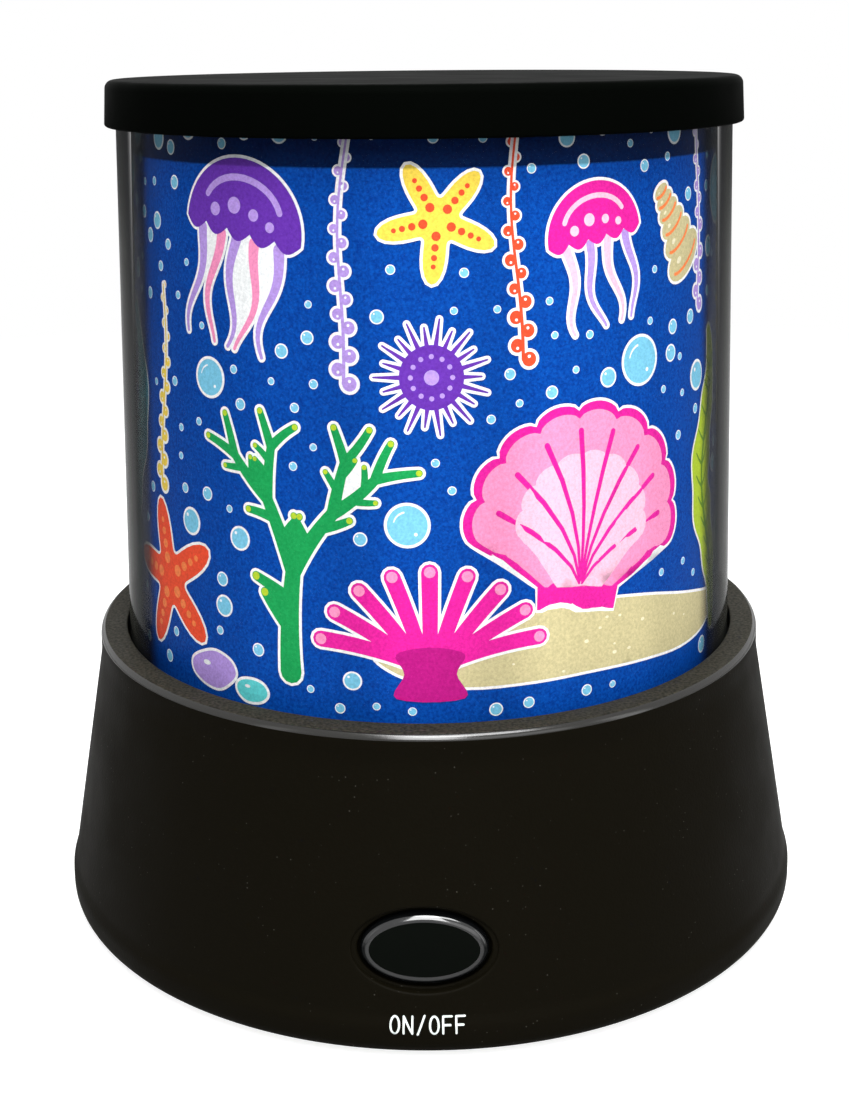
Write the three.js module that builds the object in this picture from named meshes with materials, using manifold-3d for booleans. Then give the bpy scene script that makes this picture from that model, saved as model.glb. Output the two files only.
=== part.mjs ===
// Projection night light: a flared base that holds the cells, the switch and the lamp under a
// star dome, a clear shade tube lined with a printed film, and a lid that plugs into the tube.
// Millimetres, +Z up, the front with the button faces -Y, the origin is on the surface that
// the feet stand on, on the axis of the base.
import * as THREE from 'three';
import { mergeVertices } from 'three/addons/utils/BufferGeometryUtils.js';
import Module from 'manifold-3d';

const wasm = await Module();
wasm.setup();

// Clearances shared by all pieces
const seatGap = 0.3;           // between a piece and what it rests on or fits into
const cutOverrun = 2;          // how far a cut runs past the face it opens
const weldDistance = 0.0001;   // corners closer than this are one corner

// Facets around a full turn
const shellFacets = 56;
const domeFacets = 32;
const smallFacets = 10;
const cellFacets = 16;
const ovalFacets = 28;
const arcSteps = 3;
const pathFacets = 6;
const springSides = 5;
const springStepsPerTurn = 8;

// Feet and bottom cover
const footRadius = 5;
const footThickness = 1.6;
const footInset = 2.5;         // from the edge of the cover
const coverThickness = 2;
const coverInset = 0.7;        // cover sits this much inside the lower edge of the housing
const coverRim = 2.25;         // cover beyond the corners of the door's frame

// Base housing
const baseHeight = 44.65;      // lower edge to the top of the ring
const baseBandHeight = 6.3;    // band below the flare
const bandProud = 0.7;         // band outside the foot of the flare
const bandBlendHeight = 2.5;   // over which the flare runs out into the band
const baseWall = 2.2;
const baseEdgeRound = 2;
const flareWidth = 5.78;       // foot of the housing beyond its ring
const ringLipHeight = 4;       // upright wall between the flare and the top of the ring
const ringWidth = 4.32;        // outside of the ring to its well
const ringRimRound = 1.1;
const seatDepth = 3.15;        // ring top down to the ledge that carries the tube
const deckThickness = 2;
const seatRibWall = 1.2;
const seatRibHeight = 4;
const wireHoleRadius = 4;

// Shade tube, its film and the lid
const tubeHeight = 87.5;
const tubeWall = 1.3;          // at its foot, thicker above because of the two drafts
const tubeDraft = 1.13;        // degrees, outside
const boreDraft = 1.8;         // degrees, inside
const filmThickness = 0.4;
const filmSeam = 2;            // open seam at the back
const lidSkirtWall = 1.4;
const lidSkirtDrop = 4.9;      // outer skirt below the underside of the lid's plate
const lidPlugDrop = 8.4;       // inner skirt below the same face
const lidPlugWall = 1.4;
const lidPlate = 2.05;
const lidDraft = 2.5;          // degrees
const lidRound = 1.3;

// Star dome and its retaining ring
const domeRise = 37;
const domeWall = 1.6;
const domeFlangeWidth = 3.5;
const domeFlangeThickness = 1.5;
const retainerPlate = 1.5;
const retainerWidth = 4.2;     // of the leg outside the dome's flange
const retainerInset = 0.6;     // from the rib that centres the film

// Screws
const baseScrew = { headRadius: 2.8, headHeight: 1.7, shankRadius: 1.3, shankLength: 11 };
const doorScrew = { headRadius: 2.8, headHeight: 1.7, shankRadius: 1.3, shankLength: 7 };
const smallScrew = { headRadius: 1.9, headHeight: 1.3, shankRadius: 0.8, shankLength: 5.5 };
const pilotGap = 0.3;          // between a shank and its hole, on the radius
const headGap = 0.5;           // between a head and its counterbore, on the radius
const bossWall = 1.9;          // around a screw's pilot hole

// Places of the screws and feet
const baseScrewInset = 11.5;   // from the edge of the cover
const baseScrewCount = 4;
const baseScrewTurn = 45;      // degrees, first screw from +X
const domeScrewDegrees = [90, 210, 330];
const footDegrees = [0, 90, 180, 270];
const coverSeatThickness = 2;  // what a base screw's head clamps

// Cells, tub and door
const cellRadius = 7.1;
const cellLength = 50.5;
const cellNubRadius = 2.7;
const cellNubHeight = 1;
const cellEdgeRound = 0.6;
const cellCount = 3;
const cellPitch = 15.2;
const cellSideGap = 0.6;
const cellRoofGap = 0.4;
const tubWall = 1.6;
const contactPlate = 0.5;
const contactWidth = 11;
const contactHeight = 11;
const contactDimpleRadius = 3;
const contactDimple = 0.8;
const contactTagWidth = 4;
const contactTagRise = 2.6;    // above the roof of the tub
const springLength = 3.8;      // pressed by its cell
const springFootRadius = 4.6;
const springTipRadius = 2.9;
const springTurns = 3;
const springWireRadius = 0.35;
const doorThickness = 1.6;
const doorMargin = 2.6;        // door beyond the tub's mouth
const doorFrame = 4.2;         // thickened cover around the door's pocket
const doorFrameRise = 1.9;
const doorTongueLength = 2.2;
const doorTongueThickness = 0.8;
const doorTongueWidth = 8;
const doorTongueOffset = 15;   // from the middle of the door
const doorBossWall = 1.1;      // around the screw head's recess
const doorScrewHold = 1.2;     // what the door screw's head clamps
const doorScrewGap = 0.6;      // wider pilot, so the door swings with its screw in place

// Button, in the frame of the wall: across, up the wall, outwards
const buttonRise = 14.85;      // centre above the housing's lower edge
const buttonHalfWidth = 8.95;
const buttonHalfHeight = 5.1;
const buttonSideGap = 0.4;
const buttonBevel = 0.8;
const buttonSink = 0.15;       // crown of the cap below the wall's surface
const buttonTravel = 1.2;
const buttonRecessSide = 0.8;  // recess beyond the opening, across
const buttonRecessRise = 0.5;  // and up the wall
const buttonRecessDepth = 1.1;
const buttonFlangeMargin = 1.6;
const buttonFlangeDepth = 3.6; // front of the flange below the wall's surface
const buttonFlangeThickness = 1.2;
const buttonStemRadius = 2.2;
const buttonStemLength = 1.8;

// Switch and control board behind the button
const plungerRadius = 1.7;
const plungerStand = 1.6;      // plunger above the switch's lid
const plungerDepth = 1.3;      // plunger inside the switch
const plungerGap = 0.1;
const switchHalfWidth = 3;
const switchHeight = 3.5;
const boardThickness = 1.6;
const boardHalfWidth = 18;
const boardDrop = 8;           // below the button's axis
const boardClimb = 10;         // above the button's axis
const boardScrewOffset = 15;
const boardScrewClimb = 4;
const chipHalfWidth = 3.2;
const chipHalfHeight = 2.6;
const chipThickness = 1.6;
const chipOffset = 7;
const capacitorRadius = 2.5;
const capacitorHeight = 6;
const capacitorOffset = 8;

// Power inlet at the back
const jackRise = 12.8;         // centre above the housing's lower edge
const jackNoseRadius = 4.2;
const jackNoseSink = 0.5;
const jackBodyDepth = 3;       // front of the body below the wall's surface
const jackBodyLength = 10;
const jackHalfWidth = 4.7;
const jackHalfHeight = 4.4;
const jackBoreRadius = 1.8;
const jackBoreDepth = 9;
const jackPinRadius = 0.6;
const jackPinSink = 1;
const cradleWall = 1.6;
const cradleLength = 8;

// Lamp board under the dome
const lampBoardRadius = 14;
const lampBoardLift = 5;       // above the deck
const lampScrewOffset = 10.5;
const lampCircleRadius = 6.5;
const lampRadius = 2.5;
const lampFlangeRadius = 2.9;
const lampFlangeHeight = 1;
const lampBodyHeight = 5.6;

// Wires
const wireRadius = 0.7;
const ribbonHalfWidth = 3;
const ribbonHalfThickness = 0.6;
const wireSteps = 16;
const wireClear = 3;           // wires pass this far above the tub
const tagWireStand = 0.9;      // a wire's first bend beyond what it is soldered to
const padClimbShare = 0.8;     // row of solder pads, of the board above the button's axis
const padInsetShare = 0.55;    // outer pads, of the board's half width
const positiveBendShare = 0.85;        // bends over the tub, of the distance to the tag
const negativeBendShares = [0.8, 0.5];
const ribbonBendShare = 0.25;          // bend under the deck, of the distance to the front cell

// Heights that follow
const coverBottomZ = footThickness + seatGap;
const coverTopZ = coverBottomZ + coverThickness;
const baseBottomZ = coverBottomZ - coverInset;
const bandTopZ = baseBottomZ + baseBandHeight;
const ringTopZ = baseBottomZ + baseHeight;
const deckTopZ = ringTopZ - seatDepth;
const deckBottomZ = deckTopZ - deckThickness;
const tubeBottomZ = deckTopZ + seatGap;
const tubeTopZ = tubeBottomZ + tubeHeight;
const lidUnderZ = tubeTopZ + seatGap;
const lidTopZ = lidUnderZ + lidPlate;
const lidSkirtZ = lidUnderZ - lidSkirtDrop;
const lidPlugZ = lidUnderZ - lidPlugDrop;
const doorTopZ = coverBottomZ + doorThickness;
const doorLedgeZ = doorTopZ + seatGap;
const doorFrameTopZ = doorLedgeZ + doorFrameRise;
const doorSeatZ = coverBottomZ + seatGap + doorScrew.headHeight + seatGap;
const doorBossTopZ = doorSeatZ + doorScrewHold;
const coverDoorBossTopZ = doorSeatZ + doorScrew.shankLength + seatGap + bossWall;
const cellZ = doorTopZ + seatGap + cellRadius;
const tubRoofZ = cellZ + cellRadius + cellRoofGap;
const tubTopZ = tubRoofZ + tubWall;
const domeSeatZ = deckTopZ + seatGap;
const retainerUnderZ = domeSeatZ + domeFlangeThickness + seatGap;
const retainerTopZ = retainerUnderZ + retainerPlate;
const lampBoardZ = deckTopZ + lampBoardLift;
const lampBoardTopZ = lampBoardZ + boardThickness;

// Radii and lengths that follow, from the cells outwards
const degree = Math.PI / 180;
const springRoom = contactDimple + springLength + seatGap;
const tubHalfLength = (cellLength + springRoom) / 2 + contactPlate + seatGap * 2;
const tubHalfWidth = cellPitch * (cellCount - 1) / 2 + cellRadius + cellSideGap;
const contactFaceX = tubHalfLength - seatGap - contactPlate;
const nubEndX = contactFaceX - contactDimple - seatGap;
const doorBossRadius = doorScrew.headRadius + headGap + doorBossWall;
const coverDoorBossRadius = doorBossRadius + seatGap + doorBossWall;
const doorScrewX = tubHalfLength + tubWall + coverDoorBossRadius;
const doorMinX = -tubHalfLength - doorMargin;
const doorMaxX = doorScrewX + doorBossRadius + doorMargin / 2;
const doorHalfWidth = tubHalfWidth + doorMargin;
const frameMinX = doorMinX - seatGap - doorFrame;
const frameMaxX = doorMaxX + seatGap + doorFrame;
const frameHalfWidth = doorHalfWidth + seatGap + doorFrame;
const coverRadius = Math.hypot(frameMaxX, frameHalfWidth) + coverRim;
const footCircleRadius = coverRadius - footInset - footRadius;
const baseScrewCircleRadius = coverRadius - baseScrewInset;
const baseRadius = coverRadius + seatGap + baseWall;
const bandRadius = baseRadius + bandProud;
const ringOuterRadius = baseRadius - flareWidth;
const ringInnerRadius = ringOuterRadius - ringWidth;
const flare = Math.atan2(flareWidth, ringTopZ - ringLipHeight - bandTopZ);
const tubeRadius = ringInnerRadius - seatGap;
const seatRibRadius = tubeRadius - tubeWall - seatGap - filmThickness - seatGap;
const retainerRadius = seatRibRadius - seatRibWall - retainerInset;
const retainerLegRadius = retainerRadius - retainerWidth;
const domeScrewRadius = retainerRadius - retainerWidth / 2;
const domeFlangeRadius = retainerLegRadius - seatGap;
const domeRadius = domeFlangeRadius - domeFlangeWidth;
const baseBossRadius = baseScrew.shankRadius + pilotGap + bossWall;
const smallBossRadius = smallScrew.shankRadius + pilotGap + bossWall;
const coverBossRadius = baseScrew.headRadius + headGap + bossWall;
const coverSeatZ = coverBottomZ + seatGap + baseScrew.headHeight + seatGap;
const coverBossTopZ = coverSeatZ + coverSeatThickness;

// Depths below the wall's surface, behind the button
const buttonBackDepth = buttonFlangeDepth + buttonFlangeThickness;
const stemEndDepth = buttonBackDepth + buttonStemLength;
const plungerTopDepth = stemEndDepth + seatGap;
const switchLidDepth = plungerTopDepth + plungerStand;
const boardFrontDepth = switchLidDepth + switchHeight + seatGap;
const boardBackDepth = boardFrontDepth + boardThickness;

// Finishes
const blackMatte = finish(0x181612, 0.55, 0);
const blackSatin = finish(0x141616, 0.35, 0);
const blackGloss = finish(0x0c0c0d, 0.12, 0);
const clearPlastic = finish(0xe8f0f4, 0.08, 0, 0.3);
const printedFilm = finish(0x0b4aa2, 0.4, 0);
const smokedDome = finish(0x1c2026, 0.15, 0, 0.8);
const rubber = finish(0x202020, 0.9, 0);
const zincSteel = finish(0xb9bcc0, 0.35, 1);
const nickelPlate = finish(0xd0cec6, 0.3, 1);
const cellSleeve = finish(0x2f6f4a, 0.4, 0);
const boardGreen = finish(0x1e6b3a, 0.5, 0);
const boardPaper = finish(0xb99356, 0.6, 0);
const chipBlack = finish(0x1a1a1c, 0.6, 0);
const capacitorBlue = finish(0x1f3b7a, 0.4, 0);
const wireRed = finish(0xb01c1c, 0.5, 0);
const wireBlack = finish(0x161616, 0.5, 0);
const wireGrey = finish(0x8f9398, 0.5, 0);

function finish(color, roughness, metalness, opacity = 1) {
  return new THREE.MeshStandardMaterial({ color, roughness, metalness, opacity, transparent: opacity < 1 });
}

// Closed geometry to a solid that can be joined and cut
function solid(geometry) {
  const bare = geometry.clone();
  bare.deleteAttribute('normal');
  bare.deleteAttribute('uv');
  const welded = mergeVertices(bare, weldDistance);
  const corners = welded.index.array;
  const triangles = [];
  for (let i = 0; i < corners.length; i += 3) {
    const [a, b, c] = [corners[i], corners[i + 1], corners[i + 2]];
    if (a !== b && b !== c && c !== a) triangles.push(a, b, c);
  }
  return new wasm.Manifold(new wasm.Mesh({
    numProp: 3,
    vertProperties: new Float32Array(welded.attributes.position.array),
    triVerts: new Uint32Array(triangles),
  }));
}

function geometryOf(body) {
  const mesh = body.getMesh();
  const geometry = new THREE.BufferGeometry();
  geometry.setAttribute('position', new THREE.BufferAttribute(new Float32Array(mesh.vertProperties), 3));
  geometry.setIndex(new THREE.BufferAttribute(new Uint32Array(mesh.triVerts), 1));
  geometry.computeVertexNormals();
  return geometry;
}

// Profile points run from the lower end of the axis outwards, up and back to the axis
function turned(profile, facets = shellFacets) {
  return new THREE.LatheGeometry(profile, facets).rotateX(Math.PI / 2);
}

function closedRing(profile, facets = shellFacets) {
  return turned([...profile, profile[0]], facets);
}

function at(radius, height) {
  return new THREE.Vector2(radius, height);
}

function arc(centreR, centreZ, radius, fromDegrees, toDegrees, steps = arcSteps) {
  return Array.from({ length: steps + 1 }, (_, i) => {
    const angle = (fromDegrees + (toDegrees - fromDegrees) * i / steps) * degree;
    return at(centreR + radius * Math.cos(angle), centreZ + radius * Math.sin(angle));
  });
}

function rod(radius, fromZ, toZ, facets = smallFacets) {
  const geometry = new THREE.CylinderGeometry(radius, radius, toZ - fromZ, facets);
  return geometry.rotateX(Math.PI / 2).translate(0, 0, (fromZ + toZ) / 2);
}

function block(minX, maxX, minY, maxY, minZ, maxZ) {
  const geometry = new THREE.BoxGeometry(maxX - minX, maxY - minY, maxZ - minZ);
  return geometry.translate((minX + maxX) / 2, (minY + maxY) / 2, (minZ + maxZ) / 2);
}

function ovalRod(halfWidth, halfHeight, fromZ, toZ) {
  const oval = new THREE.Shape();
  oval.absellipse(0, 0, halfWidth, halfHeight, 0, Math.PI * 2);
  const settings = { depth: toZ - fromZ, curveSegments: ovalFacets / 2, bevelEnabled: false };
  return new THREE.ExtrudeGeometry(oval, settings).translate(0, 0, fromZ);
}

function moved(geometry, x, y, z = 0) {
  return geometry.clone().translate(x, y, z);
}

function joined(first, ...others) {
  return others.reduce((body, geometry) => body.add(solid(geometry)), solid(first));
}

function cut(body, ...cutters) {
  return cutters.reduce((rest, geometry) => rest.subtract(solid(geometry)), body);
}

function onCircle(radius, degrees) {
  return [radius * Math.cos(degrees * degree), radius * Math.sin(degrees * degree)];
}

function wallRadius(z) {
  return baseRadius - (z - bandTopZ) * Math.tan(flare);
}

// Frame on the flared wall: X across, Y up the wall, Z outwards
function wallFrame(degrees, rise) {
  const z = baseBottomZ + rise;
  const [outX, outY] = onCircle(1, degrees);
  const outwards = new THREE.Vector3(outX * Math.cos(flare), outY * Math.cos(flare), Math.sin(flare));
  const upwards = new THREE.Vector3(-outX * Math.sin(flare), -outY * Math.sin(flare), Math.cos(flare));
  const across = new THREE.Vector3().crossVectors(upwards, outwards);
  const frame = new THREE.Matrix4().makeBasis(across, upwards, outwards);
  return frame.setPosition(outX * wallRadius(z), outY * wallRadius(z), z);
}

const buttonFrame = wallFrame(-90, buttonRise);
const jackFrame = wallFrame(90, jackRise);

function inFrame(frame, geometry) {
  return geometry.clone().applyMatrix4(frame);
}

function pointIn(frame, x, y, z) {
  return new THREE.Vector3(x, y, z).applyMatrix4(frame);
}

const light = new THREE.Group();
const buttonGroup = new THREE.Group();
buttonGroup.applyMatrix4(buttonFrame);
const jackGroup = new THREE.Group();
jackGroup.applyMatrix4(jackFrame);
light.add(buttonGroup, jackGroup);

function place(name, body, material, group = light) {
  const mesh = new THREE.Mesh(geometryOf(body), material.clone());
  mesh.name = name;
  group.add(mesh);
  return mesh;
}

const baseScrewPlaces = Array.from({ length: baseScrewCount }, (_, i) =>
  onCircle(baseScrewCircleRadius, baseScrewTurn + 360 / baseScrewCount * i));
const domeScrewPlaces = domeScrewDegrees.map((degrees) => onCircle(domeScrewRadius, degrees));
const lampScrewPlaces = [-1, 1].map((side) => [side * lampScrewOffset, 0]);
const boardScrewPlaces = [-1, 1].map((side) => [side * boardScrewOffset, boardScrewClimb]);
const cellRows = Array.from({ length: cellCount }, (_, i) => (i - (cellCount - 1) / 2) * cellPitch);
const frontRow = cellRows[0];
const backRow = cellRows[cellCount - 1];

// Housing: flared shell, upright ring, ledge for the tube and deck, turned in one piece
function housingShell() {
  const wallInside = (z) => wallRadius(z) - baseWall / Math.cos(flare);
  const blend = Array.from({ length: pathFacets }, (_, i) => {
    const share = i / pathFacets;
    const eased = share * share * (3 - 2 * share);
    return at(bandRadius - bandProud * eased, bandTopZ - bandBlendHeight * (1 - share));
  });
  return closedRing([
    at(wireHoleRadius, deckBottomZ),
    at(wallInside(deckBottomZ), deckBottomZ),
    at(baseRadius - baseWall, bandTopZ),
    at(baseRadius - baseWall, baseBottomZ),
    ...arc(bandRadius - baseEdgeRound, baseBottomZ + baseEdgeRound, baseEdgeRound, -90, 0),
    ...blend,
    at(baseRadius, bandTopZ),
    at(ringOuterRadius, ringTopZ - ringLipHeight),
    ...arc(ringOuterRadius - ringRimRound, ringTopZ - ringRimRound, ringRimRound, 0, 90),
    at(ringInnerRadius, ringTopZ),
    at(ringInnerRadius, deckTopZ),
    at(seatRibRadius, deckTopZ),
    at(seatRibRadius, deckTopZ + seatRibHeight),
    at(seatRibRadius - seatRibWall, deckTopZ + seatRibHeight),
    at(seatRibRadius - seatRibWall, deckTopZ),
    at(wireHoleRadius, deckTopZ),
  ]);
}

function makeHousing() {
  const deckMiddleZ = (deckTopZ + deckBottomZ) / 2;
  const postBottomZ = coverBossTopZ + seatGap;
  const posts = baseScrewPlaces.map(([x, y]) => moved(rod(baseBossRadius, postBottomZ, deckMiddleZ), x, y));
  const domeBosses = domeScrewPlaces.map(([x, y]) =>
    moved(rod(smallBossRadius, deckBottomZ - smallScrew.shankLength, deckMiddleZ), x, y));
  const lampPosts = lampScrewPlaces.map(([x, y]) =>
    moved(rod(smallBossRadius, deckMiddleZ, lampBoardZ - seatGap), x, y));
  const boardPosts = boardScrewPlaces.map(([x, y]) =>
    inFrame(buttonFrame, moved(rod(smallBossRadius, seatGap - boardFrontDepth, -buttonFlangeDepth), x, y)));
  const cradle = [-1, 1].map((side) => {
    const near = jackHalfWidth + seatGap;
    const minX = side > 0 ? near : -near - cradleWall;
    const depth = jackBodyDepth + cradleLength;
    const wall = block(minX, minX + cradleWall, -jackHalfHeight, jackHalfHeight, -depth, -baseWall);
    return inFrame(jackFrame, wall);
  });
  const shell = joined(housingShell(), ...posts, ...domeBosses, ...lampPosts, ...boardPosts, ...cradle);

  const pilot = baseScrew.shankRadius + pilotGap;
  const smallPilot = smallScrew.shankRadius + pilotGap;
  const postHoles = baseScrewPlaces.map(([x, y]) =>
    moved(rod(pilot, postBottomZ - cutOverrun, coverSeatZ + baseScrew.shankLength + seatGap), x, y));
  const domeHoles = domeScrewPlaces.map(([x, y]) =>
    moved(rod(smallPilot, retainerTopZ - smallScrew.shankLength, deckTopZ + cutOverrun), x, y));
  const lampHoles = lampScrewPlaces.map(([x, y]) =>
    moved(rod(smallPilot, lampBoardTopZ - smallScrew.shankLength, lampBoardZ + cutOverrun), x, y));
  const boardHoles = boardScrewPlaces.map(([x, y]) => {
    const hole = rod(smallPilot, -boardFrontDepth - cutOverrun, smallScrew.shankLength - boardBackDepth);
    return inFrame(buttonFrame, moved(hole, x, y));
  });
  const openWidth = buttonHalfWidth + buttonSideGap;
  const openHeight = buttonHalfHeight + buttonSideGap;
  const opening = ovalRod(openWidth, openHeight, -buttonFlangeDepth - cutOverrun, cutOverrun);
  const recessWidth = openWidth + buttonRecessSide;
  const recessHeight = openHeight + buttonRecessRise;
  const recess = ovalRod(recessWidth, recessHeight, -buttonRecessDepth, cutOverrun);
  const jackHole = rod(jackNoseRadius + seatGap, -jackBodyDepth - cutOverrun, cutOverrun, cellFacets);
  return cut(shell, ...postHoles, ...domeHoles, ...lampHoles, ...boardHoles,
    inFrame(buttonFrame, opening), inFrame(buttonFrame, recess), inFrame(jackFrame, jackHole));
}

// Bottom cover with the tub for the cells, the door's pocket and the counterbores
function makeCover() {
  const tubX = tubHalfLength + tubWall;
  const tubY = tubHalfWidth + tubWall;
  const bosses = baseScrewPlaces.map(([x, y]) =>
    moved(rod(coverBossRadius, coverBottomZ, coverBossTopZ), x, y));
  const body = joined(
    rod(coverRadius, coverBottomZ, coverTopZ, shellFacets),
    block(frameMinX, frameMaxX, -frameHalfWidth, frameHalfWidth, coverBottomZ, doorFrameTopZ),
    block(-tubX, tubX, -tubY, tubY, coverBottomZ, tubTopZ),
    moved(rod(coverDoorBossRadius, coverBottomZ, coverDoorBossTopZ), doorScrewX, 0),
    ...bosses,
  );

  const belowZ = coverBottomZ - cutOverrun;
  const pocketHalfWidth = doorHalfWidth + seatGap;
  const tongueUnderZ = doorTopZ - doorTongueThickness - seatGap;
  const tongueSweep = Math.hypot(doorTongueLength, doorThickness) + seatGap;
  const tongueSlots = [-1, 1].map((side) => {
    const middle = side * doorTongueOffset;
    const half = doorTongueWidth / 2 + seatGap;
    const minX = doorMinX - doorTongueLength - seatGap;
    const maxX = doorMinX + doorThickness + seatGap;
    return block(minX, maxX, middle - half, middle + half, tongueUnderZ, coverBottomZ + tongueSweep);
  });
  const tagSlots = [1, -1].map((side) => {
    const row = side > 0 ? frontRow : backRow;
    const half = contactTagWidth / 2 + seatGap;
    const nearX = contactFaceX - seatGap;
    const minX = side > 0 ? nearX : -tubHalfLength;
    const maxX = side > 0 ? tubHalfLength : -nearX;
    return block(minX, maxX, row - half, row + half, tubRoofZ - cutOverrun, tubTopZ + cutOverrun);
  });
  const headBores = baseScrewPlaces.map(([x, y]) =>
    moved(rod(baseScrew.headRadius + headGap, belowZ, coverSeatZ), x, y));
  const shankBores = baseScrewPlaces.map(([x, y]) =>
    moved(rod(baseScrew.shankRadius + pilotGap, belowZ, coverBossTopZ + cutOverrun), x, y));
  return cut(body,
    block(-tubHalfLength, tubHalfLength, -tubHalfWidth, tubHalfWidth, belowZ, tubRoofZ),
    block(doorMinX - seatGap, doorMaxX + seatGap, -pocketHalfWidth, pocketHalfWidth, belowZ, doorLedgeZ),
    moved(rod(doorBossRadius + seatGap, belowZ, doorBossTopZ + seatGap), doorScrewX, 0),
    moved(rod(doorScrew.shankRadius + doorScrewGap, belowZ, coverDoorBossTopZ - bossWall), doorScrewX, 0),
    ...tongueSlots, ...tagSlots, ...headBores, ...shankBores);
}

// Door: plate with two tongues at its hinge edge and a boss for its screw
function makeDoor() {
  const tongues = [-1, 1].map((side) => {
    const middle = side * doorTongueOffset;
    const half = doorTongueWidth / 2;
    const minX = doorMinX - doorTongueLength;
    const minZ = doorTopZ - doorTongueThickness;
    return block(minX, doorMinX + doorMargin, middle - half, middle + half, minZ, doorTopZ);
  });
  const body = joined(
    block(doorMinX, doorMaxX, -doorHalfWidth, doorHalfWidth, coverBottomZ, doorTopZ),
    moved(rod(doorBossRadius, coverBottomZ, doorBossTopZ), doorScrewX, 0),
    ...tongues,
  );
  const headBore = rod(doorScrew.headRadius + headGap, coverBottomZ - cutOverrun, doorSeatZ);
  const shankBore = rod(doorScrew.shankRadius + pilotGap, doorSeatZ - cutOverrun, doorBossTopZ + cutOverrun);
  return cut(body, moved(headBore, doorScrewX, 0), moved(shankBore, doorScrewX, 0));
}

// Screw with its head downwards at the origin and its shank along +Z
function makeScrew(size) {
  const neckZ = size.headHeight;
  const tipZ = neckZ + size.shankLength - seatGap;
  const crown = size.headHeight / 2;
  return solid(turned([
    at(0, 0),
    at(size.headRadius - crown / 2, 0),
    at(size.headRadius, crown),
    at(size.headRadius, neckZ),
    at(size.shankRadius, neckZ),
    at(size.shankRadius, tipZ - size.shankRadius),
    at(0, tipZ),
  ], smallFacets));
}

function boreRadius(z) {
  return tubeRadius - tubeWall - (z - tubeBottomZ) * Math.tan(boreDraft * degree);
}

function tubeOuterRadius(z) {
  return tubeRadius - (z - tubeBottomZ) * Math.tan(tubeDraft * degree);
}

function makeTube() {
  return solid(closedRing([
    at(boreRadius(tubeBottomZ), tubeBottomZ),
    at(tubeOuterRadius(tubeBottomZ), tubeBottomZ),
    at(tubeOuterRadius(tubeTopZ), tubeTopZ),
    at(boreRadius(tubeTopZ), tubeTopZ),
  ]));
}

// Film: a rolled sheet inside the tube with its open seam at the back
function makeFilm() {
  const topZ = tubeTopZ - seatGap;
  const outer = (z) => boreRadius(z) - seatGap;
  const roll = solid(closedRing([
    at(outer(tubeBottomZ) - filmThickness, tubeBottomZ),
    at(outer(tubeBottomZ), tubeBottomZ),
    at(outer(topZ), topZ),
    at(outer(topZ) - filmThickness, topZ),
  ]));
  const lowZ = tubeBottomZ - cutOverrun;
  return cut(roll, block(-filmSeam / 2, filmSeam / 2, 0, tubeRadius, lowZ, topZ + cutOverrun));
}

// Lid: plate, outer skirt around the tube, inner skirt inside the film
function makeLid() {
  const skirtInside = tubeOuterRadius(lidSkirtZ) + seatGap;
  const skirtRadius = skirtInside + lidSkirtWall;
  const topRadius = skirtRadius - (lidTopZ - lidSkirtZ) * Math.tan(lidDraft * degree);
  const plugRadius = boreRadius(tubeTopZ) - seatGap - filmThickness - seatGap;
  return solid(turned([
    at(0, lidUnderZ),
    at(plugRadius - lidPlugWall, lidUnderZ),
    at(plugRadius - lidPlugWall, lidPlugZ),
    at(plugRadius, lidPlugZ),
    at(plugRadius, lidUnderZ),
    at(skirtInside, lidUnderZ),
    at(skirtInside, lidSkirtZ),
    at(skirtRadius, lidSkirtZ),
    ...arc(topRadius - lidRound, lidTopZ - lidRound, lidRound, 0, 90),
    at(0, lidTopZ),
  ]));
}

// Dome: a shell a little under a half ball, with a flange
function makeDome() {
  const quarterSteps = arcSteps * 2;
  const wall = (radius, rise, fromZ) => Array.from({ length: quarterSteps }, (_, i) => {
    const angle = Math.PI / 2 * i / quarterSteps;
    return at(radius * Math.cos(angle), fromZ + rise * Math.sin(angle));
  });
  const flangeTopZ = domeSeatZ + domeFlangeThickness;
  const outside = wall(domeRadius, domeRise, flangeTopZ);
  const inside = wall(domeRadius - domeWall, domeRise - domeWall, flangeTopZ).reverse();
  return solid(turned([
    at(0, flangeTopZ + domeRise - domeWall),
    ...inside,
    at(domeRadius - domeWall, domeSeatZ),
    at(domeFlangeRadius, domeSeatZ),
    at(domeFlangeRadius, flangeTopZ),
    ...outside,
    at(0, flangeTopZ + domeRise),
  ], domeFacets));
}

function makeRetainer() {
  const innerRadius = domeRadius + seatGap;
  const ring = solid(closedRing([
    at(innerRadius, retainerUnderZ),
    at(retainerLegRadius, retainerUnderZ),
    at(retainerLegRadius, domeSeatZ),
    at(retainerRadius, domeSeatZ),
    at(retainerRadius, retainerTopZ),
    at(innerRadius, retainerTopZ),
  ], domeFacets));
  const holes = domeScrewPlaces.map(([x, y]) =>
    moved(rod(smallScrew.shankRadius + pilotGap, domeSeatZ - cutOverrun, retainerTopZ + cutOverrun), x, y));
  return cut(ring, ...holes);
}

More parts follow.
